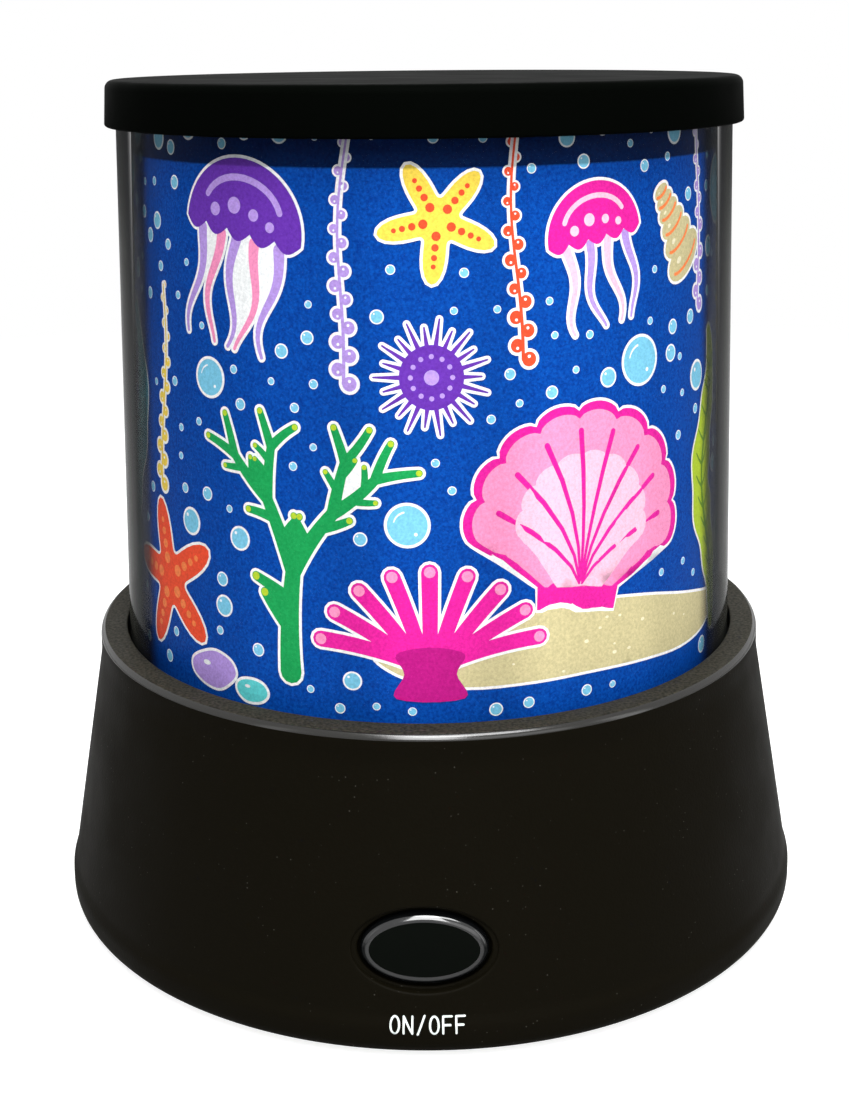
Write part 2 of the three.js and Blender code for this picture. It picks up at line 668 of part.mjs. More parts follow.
// Button cap with its flange and stem, in the frame of the wall
function makeButton() {
  const flangeWidth = buttonHalfWidth + buttonFlangeMargin;
  const flangeHeight = buttonHalfHeight + buttonFlangeMargin;
  const cap = new THREE.Shape();
  cap.absellipse(0, 0, buttonHalfWidth - buttonBevel, buttonHalfHeight - buttonBevel, 0, Math.PI * 2);
  const depth = buttonBackDepth - buttonSink - buttonBevel * 2;
  const settings = { depth, curveSegments: ovalFacets / 2, bevelSegments: 2 };
  Object.assign(settings, { bevelThickness: buttonBevel, bevelSize: buttonBevel });
  const crown = new THREE.ExtrudeGeometry(cap, settings).translate(0, 0, buttonBevel - buttonBackDepth);
  return joined(crown,
    ovalRod(flangeWidth, flangeHeight, -buttonBackDepth, -buttonFlangeDepth),
    rod(buttonStemRadius, -stemEndDepth, -buttonFlangeDepth));
}

function makeSwitch() {
  const half = switchHalfWidth;
  const body = solid(block(-half, half, -half, half, -switchLidDepth - switchHeight, -switchLidDepth));
  const boreDepth = plungerDepth + buttonTravel + seatGap;
  const hole = rod(plungerRadius + plungerGap, -switchLidDepth - boreDepth, cutOverrun - switchLidDepth);
  return cut(body, hole);
}

function makeControlBoard() {
  const board = solid(block(-boardHalfWidth, boardHalfWidth, -boardDrop, boardClimb,
    -boardBackDepth, -boardFrontDepth));
  const holes = boardScrewPlaces.map(([x, y]) =>
    moved(rod(smallScrew.shankRadius + pilotGap, -boardBackDepth - cutOverrun, cutOverrun - boardFrontDepth),
      x, y));
  return cut(board, ...holes);
}

function makeJack() {
  const bodyBack = -jackBodyDepth - jackBodyLength;
  const body = joined(
    block(-jackHalfWidth, jackHalfWidth, -jackHalfHeight, jackHalfHeight, bodyBack, -jackBodyDepth),
    rod(jackNoseRadius, -jackBodyDepth - jackNoseSink, -jackNoseSink, cellFacets),
  );
  const boreBack = -jackNoseSink - jackBoreDepth;
  const pin = rod(jackPinRadius, boreBack - jackPinSink, -jackNoseSink - jackPinSink);
  return cut(body, rod(jackBoreRadius, boreBack, cutOverrun)).add(solid(pin));
}

// Cell along +X from its flat end, with its nub at the far end
function makeCell() {
  const shoulder = cellLength - cellNubHeight;
  const round = cellEdgeRound;
  const can = turned([
    at(0, 0),
    at(cellRadius - round, 0),
    at(cellRadius, round),
    at(cellRadius, shoulder - round),
    at(cellRadius - round, shoulder),
    at(cellNubRadius, shoulder),
    at(cellNubRadius, cellLength),
    at(0, cellLength),
  ], cellFacets);
  return solid(can.rotateY(Math.PI / 2));
}

// Contact: plate on the tub's end wall at +X, with dimples where cells end in their nubs
function makeContact(rows, dimpleRows, tagRow) {
  const minY = Math.min(...rows) - contactWidth / 2;
  const maxY = Math.max(...rows) + contactWidth / 2;
  const minZ = cellZ - contactHeight / 2;
  const maxZ = cellZ + contactHeight / 2;
  const backX = contactFaceX + contactPlate;
  const parts = [block(contactFaceX, backX, minY, maxY, minZ, maxZ)];
  for (const row of dimpleRows) {
    const dimple = rod(contactDimpleRadius, contactFaceX - contactDimple, backX).rotateY(Math.PI / 2);
    parts.push(moved(dimple, 0, row, cellZ));
  }
  if (tagRow !== undefined) {
    const half = contactTagWidth / 2;
    parts.push(block(contactFaceX, backX, tagRow - half, tagRow + half, cellZ, tubTopZ + contactTagRise));
  }
  return joined(...parts);
}

// Battery spring along +X, narrowing from its wide foot to its tip
class SpringPath extends THREE.Curve {
  getPoint(share, target = new THREE.Vector3()) {
    const angle = share * springTurns * Math.PI * 2;
    const radius = springFootRadius + (springTipRadius - springFootRadius) * share;
    const rise = springWireRadius + (springLength - springWireRadius * 2) * share;
    return target.set(rise, radius * Math.cos(angle), radius * Math.sin(angle));
  }
}

function makeSpring() {
  const wire = new THREE.Shape(Array.from({ length: springSides }, (_, i) => {
    const [x, y] = onCircle(springWireRadius, 360 / springSides * i);
    return at(x, y);
  }));
  const steps = springStepsPerTurn * springTurns;
  const settings = { steps, extrudePath: new SpringPath(), bevelEnabled: false };
  return solid(new THREE.ExtrudeGeometry(wire, settings));
}

function leastSpringGap() {
  const samplesPerTurn = 32;
  const points = new SpringPath().getSpacedPoints(samplesPerTurn * springTurns);
  const halfTurn = samplesPerTurn / 2;
  let least = Infinity;
  points.forEach((point, i) => points.slice(i + halfTurn).forEach((other) => {
    least = Math.min(least, point.distanceTo(other));
  }));
  return least - springWireRadius * 2;
}

// Lamp: round body with a domed tip on a flange, its flange at z = 0
function makeLamp() {
  return solid(turned([
    at(0, 0),
    at(lampFlangeRadius, 0),
    at(lampFlangeRadius, lampFlangeHeight),
    at(lampRadius, lampFlangeHeight),
    ...arc(0, lampBodyHeight, lampRadius, 0, 90),
  ], smallFacets));
}

function makeLampBoard() {
  const board = solid(rod(lampBoardRadius, lampBoardZ, lampBoardTopZ, domeFacets));
  const hole = rod(smallScrew.shankRadius + pilotGap, lampBoardZ - cutOverrun, lampBoardTopZ + cutOverrun);
  return cut(board, ...lampScrewPlaces.map(([x, y]) => moved(hole, x, y)));
}

function makeWire(points, halfWidth = wireRadius, halfThickness = wireRadius) {
  const section = new THREE.Shape(Array.from({ length: pathFacets }, (_, i) => {
    const [x, y] = onCircle(1, 360 / pathFacets * i);
    return at(x * halfThickness, y * halfWidth);
  }));
  const extrudePath = new THREE.CatmullRomCurve3(points);
  return solid(new THREE.ExtrudeGeometry(section, { steps: wireSteps, extrudePath, bevelEnabled: false }));
}

// Base
place('base_housing', makeHousing(), blackMatte);
place('bottom_cover', makeCover(), blackMatte);
baseScrewPlaces.forEach(([x, y], i) => {
  const screw = place(`base_screw_${i + 1}`, makeScrew(baseScrew), zincSteel);
  screw.position.set(x, y, coverSeatZ - seatGap - baseScrew.headHeight);
});
footDegrees.forEach((degrees, i) => {
  const foot = place(`rubber_foot_${i + 1}`, solid(rod(footRadius, 0, footThickness, cellFacets)), rubber);
  const [x, y] = onCircle(footCircleRadius, degrees);
  foot.position.set(x, y, 0);
});

// Door and its screw
place('battery_door', makeDoor(), blackMatte);
const captiveScrew = place('battery_door_screw', makeScrew(doorScrew), zincSteel);
captiveScrew.position.set(doorScrewX, 0, doorSeatZ - seatGap - doorScrew.headHeight);

// Cells in series, contacts and springs
cellRows.forEach((row, i) => {
  const cell = place(`battery_cell_${i + 1}`, makeCell(), cellSleeve);
  const facing = i % 2 === 0 ? 1 : -1;
  cell.rotation.z = facing > 0 ? 0 : Math.PI;
  cell.position.set(facing * (nubEndX - cellLength), row, cellZ);
  const spring = place(`battery_spring_${i + 1}`, makeSpring(), nickelPlate);
  spring.rotation.z = facing > 0 ? 0 : Math.PI;
  spring.position.set(-facing * (contactFaceX - seatGap), row, cellZ);
});
place('contact_positive', makeContact([frontRow], [frontRow], frontRow), nickelPlate);
place('contact_bridge_right', makeContact(cellRows.slice(1), [backRow]), nickelPlate);

// The two at the other end are made on the same side and turned half round
const leftBridge = place('contact_bridge_left', makeContact(cellRows.slice(1), [0]), nickelPlate);
leftBridge.rotation.z = Math.PI;
const negative = place('contact_negative', makeContact([frontRow], [], frontRow), nickelPlate);
negative.rotation.z = Math.PI;

// Button, switch and control board
place('power_button', makeButton(), blackGloss, buttonGroup);
place('switch_plunger', solid(rod(plungerRadius, -switchLidDepth - plungerDepth, -plungerTopDepth)),
  chipBlack, buttonGroup);
place('switch_body', makeSwitch(), nickelPlate, buttonGroup);
place('control_board', makeControlBoard(), boardPaper, buttonGroup);
boardScrewPlaces.forEach(([x, y], i) => {
  const screw = place(`board_screw_${i + 1}`, makeScrew(smallScrew), zincSteel, buttonGroup);
  screw.position.set(x, y, -boardBackDepth - seatGap - smallScrew.headHeight);
});
const chipBackDepth = boardBackDepth + seatGap;
place('control_chip', solid(block(-chipOffset - chipHalfWidth, -chipOffset + chipHalfWidth,
  -chipHalfHeight, chipHalfHeight, -chipBackDepth - chipThickness, -chipBackDepth)), chipBlack, buttonGroup);
const capacitor = place('smoothing_capacitor',
  solid(rod(capacitorRadius, -chipBackDepth - capacitorHeight, -chipBackDepth)), capacitorBlue, buttonGroup);
capacitor.position.x = capacitorOffset;

// Power inlet
place('power_inlet', makeJack(), chipBlack, jackGroup);

// Star dome, its ring and the lamp board
place('star_dome', makeDome(), smokedDome);
place('dome_retainer', makeRetainer(), blackMatte);
domeScrewPlaces.forEach(([x, y], i) => {
  const screw = place(`dome_screw_${i + 1}`, makeScrew(smallScrew), zincSteel);
  screw.rotation.x = Math.PI;
  screw.position.set(x, y, retainerTopZ + seatGap + smallScrew.headHeight);
});
place('lamp_board', makeLampBoard(), boardGreen);
lampScrewPlaces.forEach(([x, y], i) => {
  const screw = place(`lamp_screw_${i + 1}`, makeScrew(smallScrew), zincSteel);
  screw.rotation.x = Math.PI;
  screw.position.set(x, y, lampBoardTopZ + seatGap + smallScrew.headHeight);
});
const lamps = { warm: 0xfff0c8, red: 0xd03030, green: 0x30b050, blue: 0x3060d0 };
Object.entries(lamps).forEach(([name, color], i) => {
  const lamp = place(`lamp_${name}`, makeLamp(), finish(color, 0.15, 0));
  const [x, y] = i === 0 ? [0, 0] : onCircle(lampCircleRadius, 90 + 120 * (i - 1));
  lamp.position.set(x, y, lampBoardTopZ + seatGap);
});

// Shade and lid
place('clear_tube', makeTube(), clearPlastic);
place('printed_film', makeFilm(), printedFilm);
place('top_lid', makeLid(), blackSatin);

// Wires between the contacts, the inlet, the control board and the lamp board
const wireTopZ = tubTopZ + contactTagRise + wireClear;
const tagX = contactFaceX + contactPlate / 2;
const tagEndZ = tubTopZ + contactTagRise + seatGap;
const boardEnd = (x, y, stand = seatGap) => pointIn(buttonFrame, x, y, -boardBackDepth - stand);
const padClimb = boardClimb * padClimbShare;
const padInset = boardHalfWidth * padInsetShare;
place('wire_positive', makeWire([
  new THREE.Vector3(tagX, frontRow, tagEndZ),
  new THREE.Vector3(tagX, frontRow, tagEndZ + tagWireStand),
  new THREE.Vector3(tagX * positiveBendShare, (frontRow - baseScrewCircleRadius) / 2, wireTopZ),
  boardEnd(padInset, padClimb, wireClear),
  boardEnd(padInset, padClimb),
]), wireRed);
place('wire_negative', makeWire([
  new THREE.Vector3(-tagX, backRow, tagEndZ),
  new THREE.Vector3(-tagX, backRow, tagEndZ + tagWireStand),
  new THREE.Vector3(-tagX * negativeBendShares[0], 0, wireTopZ),
  new THREE.Vector3(-tagX * negativeBendShares[1], frontRow, wireTopZ),
  boardEnd(-padInset, padClimb, wireClear),
  boardEnd(-padInset, padClimb),
]), wireBlack);
place('lamp_ribbon', makeWire([
  boardEnd(0, padClimb),
  boardEnd(0, padClimb, wireClear),
  new THREE.Vector3(0, frontRow, wireTopZ),
  new THREE.Vector3(0, frontRow * ribbonBendShare, (wireTopZ + deckBottomZ) / 2),
  new THREE.Vector3(0, 0, deckBottomZ),
  new THREE.Vector3(0, 0, lampBoardZ - seatGap),
], ribbonHalfWidth, ribbonHalfThickness), wireGrey);
['positive', 'negative'].forEach((name, i) => {
  const side = i === 0 ? 1 : -1;
  const leadX = side * jackHalfWidth / 2;
  const backDepth = -jackBodyDepth - jackBodyLength;
  place(`inlet_wire_${name}`, makeWire([
    pointIn(jackFrame, -leadX, 0, backDepth - seatGap),
    pointIn(jackFrame, -leadX, 0, backDepth - wireClear),
    new THREE.Vector3(leadX * 2, backRow, wireTopZ),
    new THREE.Vector3(leadX * 2, frontRow, wireTopZ),
    boardEnd(leadX * 2, padClimb, wireClear),
    boardEnd(leadX * 2, padClimb),
  ]), i === 0 ? wireRed : wireBlack);
});

console.log(`least gap of a battery spring to itself: ${leastSpringGap().toFixed(2)} mm`);

export default light;
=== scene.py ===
import random
from math import atan2, cos, hypot, pi, radians, sin, tan, tau

import bmesh
import bpy
from mathutils import Matrix, Vector
from mathutils.geometry import delaunay_2d_cdt


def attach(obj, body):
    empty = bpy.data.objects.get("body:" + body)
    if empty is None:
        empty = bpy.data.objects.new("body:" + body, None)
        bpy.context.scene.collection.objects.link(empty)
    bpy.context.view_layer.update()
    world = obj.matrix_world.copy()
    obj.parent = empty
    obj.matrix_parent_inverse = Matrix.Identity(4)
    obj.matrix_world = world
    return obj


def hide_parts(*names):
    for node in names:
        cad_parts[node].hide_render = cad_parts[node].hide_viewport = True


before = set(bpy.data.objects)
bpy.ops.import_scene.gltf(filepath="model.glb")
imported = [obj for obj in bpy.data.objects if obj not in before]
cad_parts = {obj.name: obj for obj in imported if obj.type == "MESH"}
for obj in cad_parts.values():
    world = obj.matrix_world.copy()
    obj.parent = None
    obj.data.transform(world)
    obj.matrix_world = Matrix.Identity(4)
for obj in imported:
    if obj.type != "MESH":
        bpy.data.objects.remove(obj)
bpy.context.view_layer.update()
mm = 0.001


# Small helpers

def hexColour(text):
    # sRGB hex to the linear colour that shaders read
    parts = [int(text[i:i + 2], 16) / 255 for i in (1, 3, 5)]
    return [c / 12.92 if c <= 0.04045 else ((c + 0.055) / 1.055) ** 2.4 for c in parts] + [1]


def addNode(tree, kind, inputs=None, **settings):
    # An input that is a socket is linked, one that is a node is linked to its first output
    node = tree.nodes.new(kind)
    for name, value in settings.items():
        setattr(node, name, value)
    for socket, value in (inputs or {}).items():
        source = value.outputs[0] if isinstance(value, bpy.types.Node) else value
        if isinstance(source, bpy.types.NodeSocket):
            tree.links.new(source, node.inputs[socket])
        else:
            node.inputs[socket].default_value = source
    return node


def setRamp(ramp, edges, values):
    # Each value is a hex colour, a linear colour or a plain number
    for stop, edge, value in zip(ramp.color_ramp.elements, edges, values):
        stop.position = edge
        if isinstance(value, str):
            value = hexColour(value)
        stop.color = value if isinstance(value, list) else (value, value, value, 1)


def startMaterial(name, colour, roughness, **values):
    material = bpy.data.materials.new(name)
    material.use_nodes = True
    tree = material.node_tree
    shader = tree.nodes["Principled BSDF"]
    shader.inputs["Base Color"].default_value = hexColour(colour)
    shader.inputs["Roughness"].default_value = roughness
    for socket, value in values.items():
        shader.inputs[socket.replace("_", " ")].default_value = value
    return material, tree, shader


def grainOn(tree, shader, sizeMm, depthMm, strength, detail):
    # Bump from a noise whose lumps are sizeMm across
    place = addNode(tree, "ShaderNodeTexCoord")
    noise = addNode(tree, "ShaderNodeTexNoise",
                    {"Scale": 1 / (sizeMm * mm), "Detail": detail, "Vector": place.outputs["Object"]})
    bump = addNode(tree, "ShaderNodeBump",
                   {"Strength": strength, "Distance": depthMm * mm, "Height": noise.outputs["Fac"]})
    tree.links.new(bump.outputs["Normal"], shader.inputs["Normal"])
    return place, noise


def tintOn(tree, shader, place, sizeMm, low, high, socket="Base Color", detail=3.0):
    # A slow drift of colour or roughness between two values
    noise = addNode(tree, "ShaderNodeTexNoise",
                    {"Scale": 1 / (sizeMm * mm), "Detail": detail, "Vector": place.outputs["Object"]})
    ramp = addNode(tree, "ShaderNodeValToRGB", {"Fac": noise.outputs["Fac"]})
    setRamp(ramp, (0.3, 0.7), (low, high))
    tree.links.new(ramp.outputs["Color"], shader.inputs[socket])


def plainFinish(name, colour, roughness, grain, tint, **values):
    # grain and tint are what grainOn and tintOn take, from their sizes on
    material, tree, shader = startMaterial(name, colour, roughness, **values)
    place, _ = grainOn(tree, shader, *grain)
    tintOn(tree, shader, place, *tint)
    return material


def addObject(name, data):
    thing = bpy.data.objects.new(name, data)
    bpy.context.scene.collection.objects.link(thing)
    return thing


def meshFrom(name, work):
    mesh = bpy.data.meshes.new(name)
    work.to_mesh(mesh)
    work.free()
    return mesh


def meshOf(name, build, closed=True):
    # build fills a bmesh in millimetres. A closed shape is turned to face outwards
    work = bmesh.new()
    build(work)
    if closed:
        bmesh.ops.recalc_face_normals(work, faces=work.faces)
    bmesh.ops.scale(work, vec=(mm, mm, mm), verts=work.verts)
    return meshFrom(name, work)


def pieceFromMesh(name, mesh, materials, body, nodes=(), smoothUnder=35):
    mesh.name = name
    order = [face.material_index if len(materials) > 1 else 0 for face in mesh.polygons]
    mesh.materials.clear()
    for material in materials:
        mesh.materials.append(material)
    mesh.polygons.foreach_set("material_index", order)
    mesh.polygons.foreach_set("use_smooth", [True] * len(mesh.polygons))
    mesh.set_sharp_from_angle(angle=radians(smoothUnder))
    mesh.update()
    piece = addObject(name, mesh)
    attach(piece, body)
    if nodes:
        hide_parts(*nodes)
    return piece


def newPiece(name, build, materials, body, nodes=(), smoothUnder=35, closed=True):
    return pieceFromMesh(name, meshOf(name, build, closed), materials, body, nodes, smoothUnder)


def flatRectangle(name, half, low, high):
    mesh = bpy.data.meshes.new(name)
    mesh.from_pydata([(-half, low, 0), (half, low, 0), (half, high, 0), (-half, high, 0)], [], [(0, 1, 2, 3)])
    return mesh


def moveFrom(work, first, matrix):
    # Places the points that were added from the given number on
    work.verts.ensure_lookup_table()
    bmesh.ops.transform(work, matrix=matrix, verts=work.verts[first:])


def roundFrom(centreR, centreZ, radius, fromDegrees, toDegrees, steps=6):
    return [(centreR + radius * cos(radians(a)), centreZ + radius * sin(radians(a)))
            for a in (fromDegrees + (toDegrees - fromDegrees) * i / steps for i in range(steps + 1))]


def ringPoint(radius, turn, z):
    # turn 0 is the front, and grows towards the viewer's right
    return Vector((radius * sin(turn), -radius * cos(turn), z))


def lathe(work, profile, segments, closed=True, span=None, skip=None, inkAt=None):
    # Profile runs up on the outside. span is the turned part in radians, centred on the front
    first, sweep = (0.0, tau) if span is None else (-span / 2, span)
    columns = segments if span is None else segments + 1
    rows = []
    for radius, z in profile:
        if radius < 1e-6:
            rows.append([work.verts.new((0, 0, z))] * columns)
        else:
            rows.append([work.verts.new(ringPoint(radius, first + sweep * i / segments, z))
                         for i in range(columns)])
    for j in range(len(rows) if closed else len(rows) - 1):
        low, high = rows[j], rows[(j + 1) % len(rows)]
        for i in range(segments):
            if skip and skip(i, j):
                continue
            k = (i + 1) % columns
            corners = list(dict.fromkeys((low[i], low[k], high[k], high[i])))
            if len(corners) > 2:
                face = work.faces.new(corners)
                face.material_index = inkAt(j) if inkAt else 0
    return rows


# Camera, floor and light

cameraPlace = dict(turn=1.0, distance=261.35, height=138.37, pitchDown=12.4, roll=-0.53, lens=52.84,
                   shiftX=-0.002, shiftY=-0.1415)

worldLevel = 0.14

# Each panel: place and size in metres, power in watts. All face the same point of the light's axis
aimHeight = 0.07
panels = dict(topPanel=dict(place=(0.12, -0.3, 0.95), width=0.5, height=0.5, power=9.0),
              slopePanel=dict(place=(0.0, -0.62, 0.72), width=0.3, height=0.8, power=9.0),
              frontPanel=dict(place=(0.55, -1.2, 0.62), width=1.1, height=0.7, power=3.2),
              backPanel=dict(place=(0.0, 0.9, 0.75), width=0.9, height=0.3, power=2.5),
              leftPanel=dict(place=(-0.72, -0.62, 0.2), width=0.16, height=1.0, power=0.45),
              rightPanel=dict(place=(0.84, -0.36, 0.2), width=0.2, height=1.0, power=1.2))
floorTone = dict(halfSide=3, grain=60, dark="#bcbcbb", light="#c2c2c2", clearFrom=0.16, whiteFrom=0.55,
                 glow=0.78)


def makeCamera():
    data = bpy.data.cameras.new("cameraData")
    data.sensor_width = 36
    data.lens = cameraPlace["lens"]
    data.shift_x = cameraPlace["shiftX"]
    data.shift_y = cameraPlace["shiftY"]
    data.clip_start = 0.01
    data.clip_end = 20
    camera = addObject("camera", data)
    aim = (Matrix.Rotation(radians(90 - cameraPlace["pitchDown"]), 4, "X")
           @ Matrix.Rotation(radians(cameraPlace["roll"]), 4, "Z"))
    spot = Vector((0, -cameraPlace["distance"], cameraPlace["height"])) * mm
    aboutLight = Matrix.Rotation(radians(cameraPlace["turn"]), 4, "Z")
    camera.matrix_world = aboutLight @ Matrix.Translation(spot) @ aim
    bpy.context.scene.camera = camera


def addPanel(name, place, width, height, power):
    data = bpy.data.lights.new(name, "AREA")
    data.shape = "RECTANGLE"
    data.size = width
    data.size_y = height
    data.energy = power
    panel = addObject(name, data)
    aim = Vector((0, 0, aimHeight)) - Vector(place)
    panel.matrix_world = Matrix.Translation(place) @ aim.to_track_quat("-Z", "Y").to_matrix().to_4x4()


def makeStage():
    world = bpy.data.worlds.new("studioWorld")
    world.use_nodes = True
    tree = world.node_tree
    tree.nodes.clear()
    path = addNode(tree, "ShaderNodeLightPath")
    direct = addNode(tree, "ShaderNodeMath", {0: path.outputs["Is Camera Ray"],
                                              1: path.outputs["Is Transmission Ray"]}, operation="MAXIMUM")
    seen = addNode(tree, "ShaderNodeMath", {0: direct, 1: path.outputs["Is Glossy Ray"]}, operation="MAXIMUM")
    room = addNode(tree, "ShaderNodeBackground", {"Color": hexColour("#dfe4ea"), "Strength": worldLevel})
    white = addNode(tree, "ShaderNodeBackground", {"Color": (1, 1, 1, 1), "Strength": 1.0})
    mixed = addNode(tree, "ShaderNodeMixShader", {0: seen, 1: room, 2: white})
    addNode(tree, "ShaderNodeOutputWorld", {"Surface": mixed})
    bpy.context.scene.world = world

    # Painted studio floor: the camera sees it lifted to white, with the contact shadow left on it,
    # and further out it runs into the white of the room. From below it is see-through
    material = bpy.data.materials.new("paintedStudioFloor")
    material.use_nodes = True
    tree = material.node_tree
    tree.nodes.clear()
    path = addNode(tree, "ShaderNodeLightPath")
    place = addNode(tree, "ShaderNodeTexCoord")
    noise = addNode(tree, "ShaderNodeTexNoise",
                    {"Scale": floorTone["grain"], "Detail": 2, "Vector": place.outputs["Object"]})
    tone = addNode(tree, "ShaderNodeValToRGB", {"Fac": noise.outputs["Fac"]})
    setRamp(tone, (0, 1), (floorTone["dark"], floorTone["light"]))
    paint = addNode(tree, "ShaderNodeBsdfDiffuse", {"Color": tone.outputs["Color"]})
    glow = addNode(tree, "ShaderNodeEmission", {"Color": (1, 1, 1, 1), "Strength": floorTone["glow"]})
    lifted = addNode(tree, "ShaderNodeAddShader", {0: paint, 1: glow})
    plain = addNode(tree, "ShaderNodeEmission", {"Color": (1, 1, 1, 1), "Strength": 1.0})
    reach = addNode(tree, "ShaderNodeVectorMath", {0: place.outputs["Object"]}, operation="LENGTH")
    far = addNode(tree, "ShaderNodeMapRange",
                  {"From Min": floorTone["clearFrom"], "From Max": floorTone["whiteFrom"],
                   "Value": reach.outputs["Value"]})
    shown = addNode(tree, "ShaderNodeMixShader", {0: far, 1: lifted, 2: plain})
    mixed = addNode(tree, "ShaderNodeMixShader", {0: path.outputs["Is Camera Ray"], 1: paint, 2: shown})
    clear = addNode(tree, "ShaderNodeBsdfTransparent")
    under = addNode(tree, "ShaderNodeNewGeometry")
    sided = addNode(tree, "ShaderNodeMixShader", {0: under.outputs["Backfacing"], 1: mixed, 2: clear})
    addNode(tree, "ShaderNodeOutputMaterial", {"Surface": sided})
    half = floorTone["halfSide"]
    mesh = flatRectangle("studioFloor", half, -half, half)
    mesh.materials.append(material)
    floor = addObject("studioFloor", mesh)
    for name, panel in panels.items():
        addPanel(name, **panel)


makeCamera()
makeStage()
print("camera, floor and light made")


# Materials

# Moulded black ABS with a fine spark-eroded grain, which breaks the light into a dull sheen. A few pale
# specks are painted on it, both dust and painted glints. The grain is drawn at 0.45 mm, coarser than
# the real 0.1 mm, so it shows. The top of the ring is greyed by fine dust and by painted light on its
# upward faces
blackAbs, tree, shader = startMaterial("mouldedBlackAbs", "#0c0a05", 0.5, Specular_IOR_Level=0.02)
place, grain = grainOn(tree, shader, 0.45, 0.05, 0.55, 3)
tintOn(tree, shader, place, 14, 0.44, 0.58, "Roughness")
# Pale specks in patches: dust, and painted glints
specks = addNode(tree, "ShaderNodeTexVoronoi", {"Scale": 1 / (1.1 * mm), "Vector": place.outputs["Object"]})
isSpeck = addNode(tree, "ShaderNodeMapRange", {"From Min": 0.05, "From Max": 0.1, "To Min": 1.0,
                                               "To Max": 0.0, "Value": specks.outputs["Distance"]})
drift = addNode(tree, "ShaderNodeTexNoise", {"Scale": 1 / (6 * mm), "Vector": place.outputs["Object"]})
patch = addNode(tree, "ShaderNodeMapRange",
                {"From Min": 0.5, "From Max": 0.62, "Value": drift.outputs["Fac"]})
specksOfDustAndGlint = addNode(tree, "ShaderNodeMath", {0: isSpeck, 1: patch}, operation="MULTIPLY")
colour = addNode(tree, "ShaderNodeMix", {6: hexColour("#0c0a05"), 7: hexColour("#45433d"), 0: specksOfDustAndGlint},
                 data_type="RGBA")
# Upward faces of the ring top are lightened: dust, and painted light from above
facesUp = addNode(tree, "ShaderNodeSeparateXYZ", {0: place.outputs["Normal"]})
looksUp = addNode(tree, "ShaderNodeMapRange",
                  {"From Min": 0.45, "From Max": 0.95, "Value": facesUp.outputs["Z"]},
                  interpolation_type="SMOOTHSTEP")
height = addNode(tree, "ShaderNodeSeparateXYZ", {0: place.outputs["Object"]})
onRing = addNode(tree, "ShaderNodeMapRange",
                 {"From Min": 44.3 * mm, "From Max": 44.9 * mm, "Value": height.outputs["Z"]})
dustAndLitTop = addNode(tree, "ShaderNodeMath", {0: looksUp, 1: onRing}, operation="MULTIPLY")
dustAndLightTone = addNode(tree, "ShaderNodeValToRGB", {"Fac": grain.outputs["Fac"]})
setRamp(dustAndLightTone, (0.35, 0.66), ("#1c1b18", "#37352e"))
dusty = addNode(tree, "ShaderNodeMix", {0: dustAndLitTop, 6: colour.outputs[2], 7: dustAndLightTone.outputs["Color"]},
                data_type="RGBA")
tree.links.new(dusty.outputs[2], shader.inputs["Base Color"])

# The ring's outer corner, rubbed smooth by hands
rubbedAbs = plainFinish("rubbedBlackAbs", "#0e0d09", 0.17, (0.45, 0.02, 0.3, 3), (6, 0.15, 0.2, "Roughness"),
                        Specular_IOR_Level=0.6)

# Black styrene off a satin mould: hardly any shine face on, and a soft grey sheen at a low angle
satinBlack = plainFinish("satinBlackStyrene", "#030403", 0.5, (2.2, 0.02, 0.35, 2),
                         (9, 0.46, 0.54, "Roughness", 4), Specular_IOR_Level=0.002)

# Gloss black cap: the face is dulled a little by fingers. The rounded edge's shine is set by which way it
# faces: almost a mirror where it faces up and along its border with the face, a painted highlight, and dull
# where it faces down into the gap, a painted shade
capFace = plainFinish("glossBlackCapFace", "#060806", 0.16, (3.0, 0.01, 0.25, 1),
                      (4, 0.12, 0.22, "Roughness"), Specular_IOR_Level=0.018)
capEdge, tree, shader = startMaterial("glossBlackCapEdge", "#08090a", 0.1, IOR=1.6)
place, _ = grainOn(tree, shader, 3.0, 0.01, 0.25, 1)
tintOn(tree, shader, place, 4, 0.07, 0.13, "Roughness")
# Painted highlight on the edge where it faces up or borders the face, painted shade where it faces down
towards = addNode(tree, "ShaderNodeSeparateXYZ", {0: place.outputs["Normal"]})
above = addNode(tree, "ShaderNodeMapRange", {"From Min": 0.2, "From Max": 0.5, "Value": towards.outputs["Z"]})
capAxis = addNode(tree, "ShaderNodeVectorMath", {1: (0, -0.98614, 0.16594), 0: place.outputs["Normal"]},
                  operation="DOT_PRODUCT")
border = addNode(tree, "ShaderNodeMapRange",
                 {"From Min": 0.88, "From Max": 0.95, "Value": capAxis.outputs["Value"]})
paintedHighlightMask = addNode(tree, "ShaderNodeMath", {0: above, 1: border}, operation="MAXIMUM")
level = addNode(tree, "ShaderNodeMapRange", {"To Min": 0.05, "To Max": 0.6, "Value": paintedHighlightMask})
tree.links.new(level.outputs[0], shader.inputs["Specular IOR Level"])

# Clear moulded styrene: see-through in the middle, smoky and grey where the wall is seen edge on
clearStyrene, tree, shader = startMaterial("clearStyreneTube", "#1c1d1f", 0.09, Specular_IOR_Level=0.01)
grainOn(tree, shader, 9, 0.02, 0.3, 1)
facing = addNode(tree, "ShaderNodeLayerWeight", {"Blend": 0.5})
smokeTone = addNode(tree, "ShaderNodeValToRGB", {"Fac": facing.outputs["Facing"]})
setRamp(smokeTone, (0.76, 0.82), ("#1c1d1f", "#282926"))
tree.links.new(smokeTone.outputs["Color"], shader.inputs["Base Color"])
smoke = addNode(tree, "ShaderNodeMapRange",
                {"From Min": 0.65, "From Max": 0.75, "To Min": 0.02, "To Max": 0.88,
                 "Value": facing.outputs["Facing"]}, interpolation_type="SMOOTHSTEP")
tree.links.new(smoke.outputs[0], shader.inputs["Alpha"])

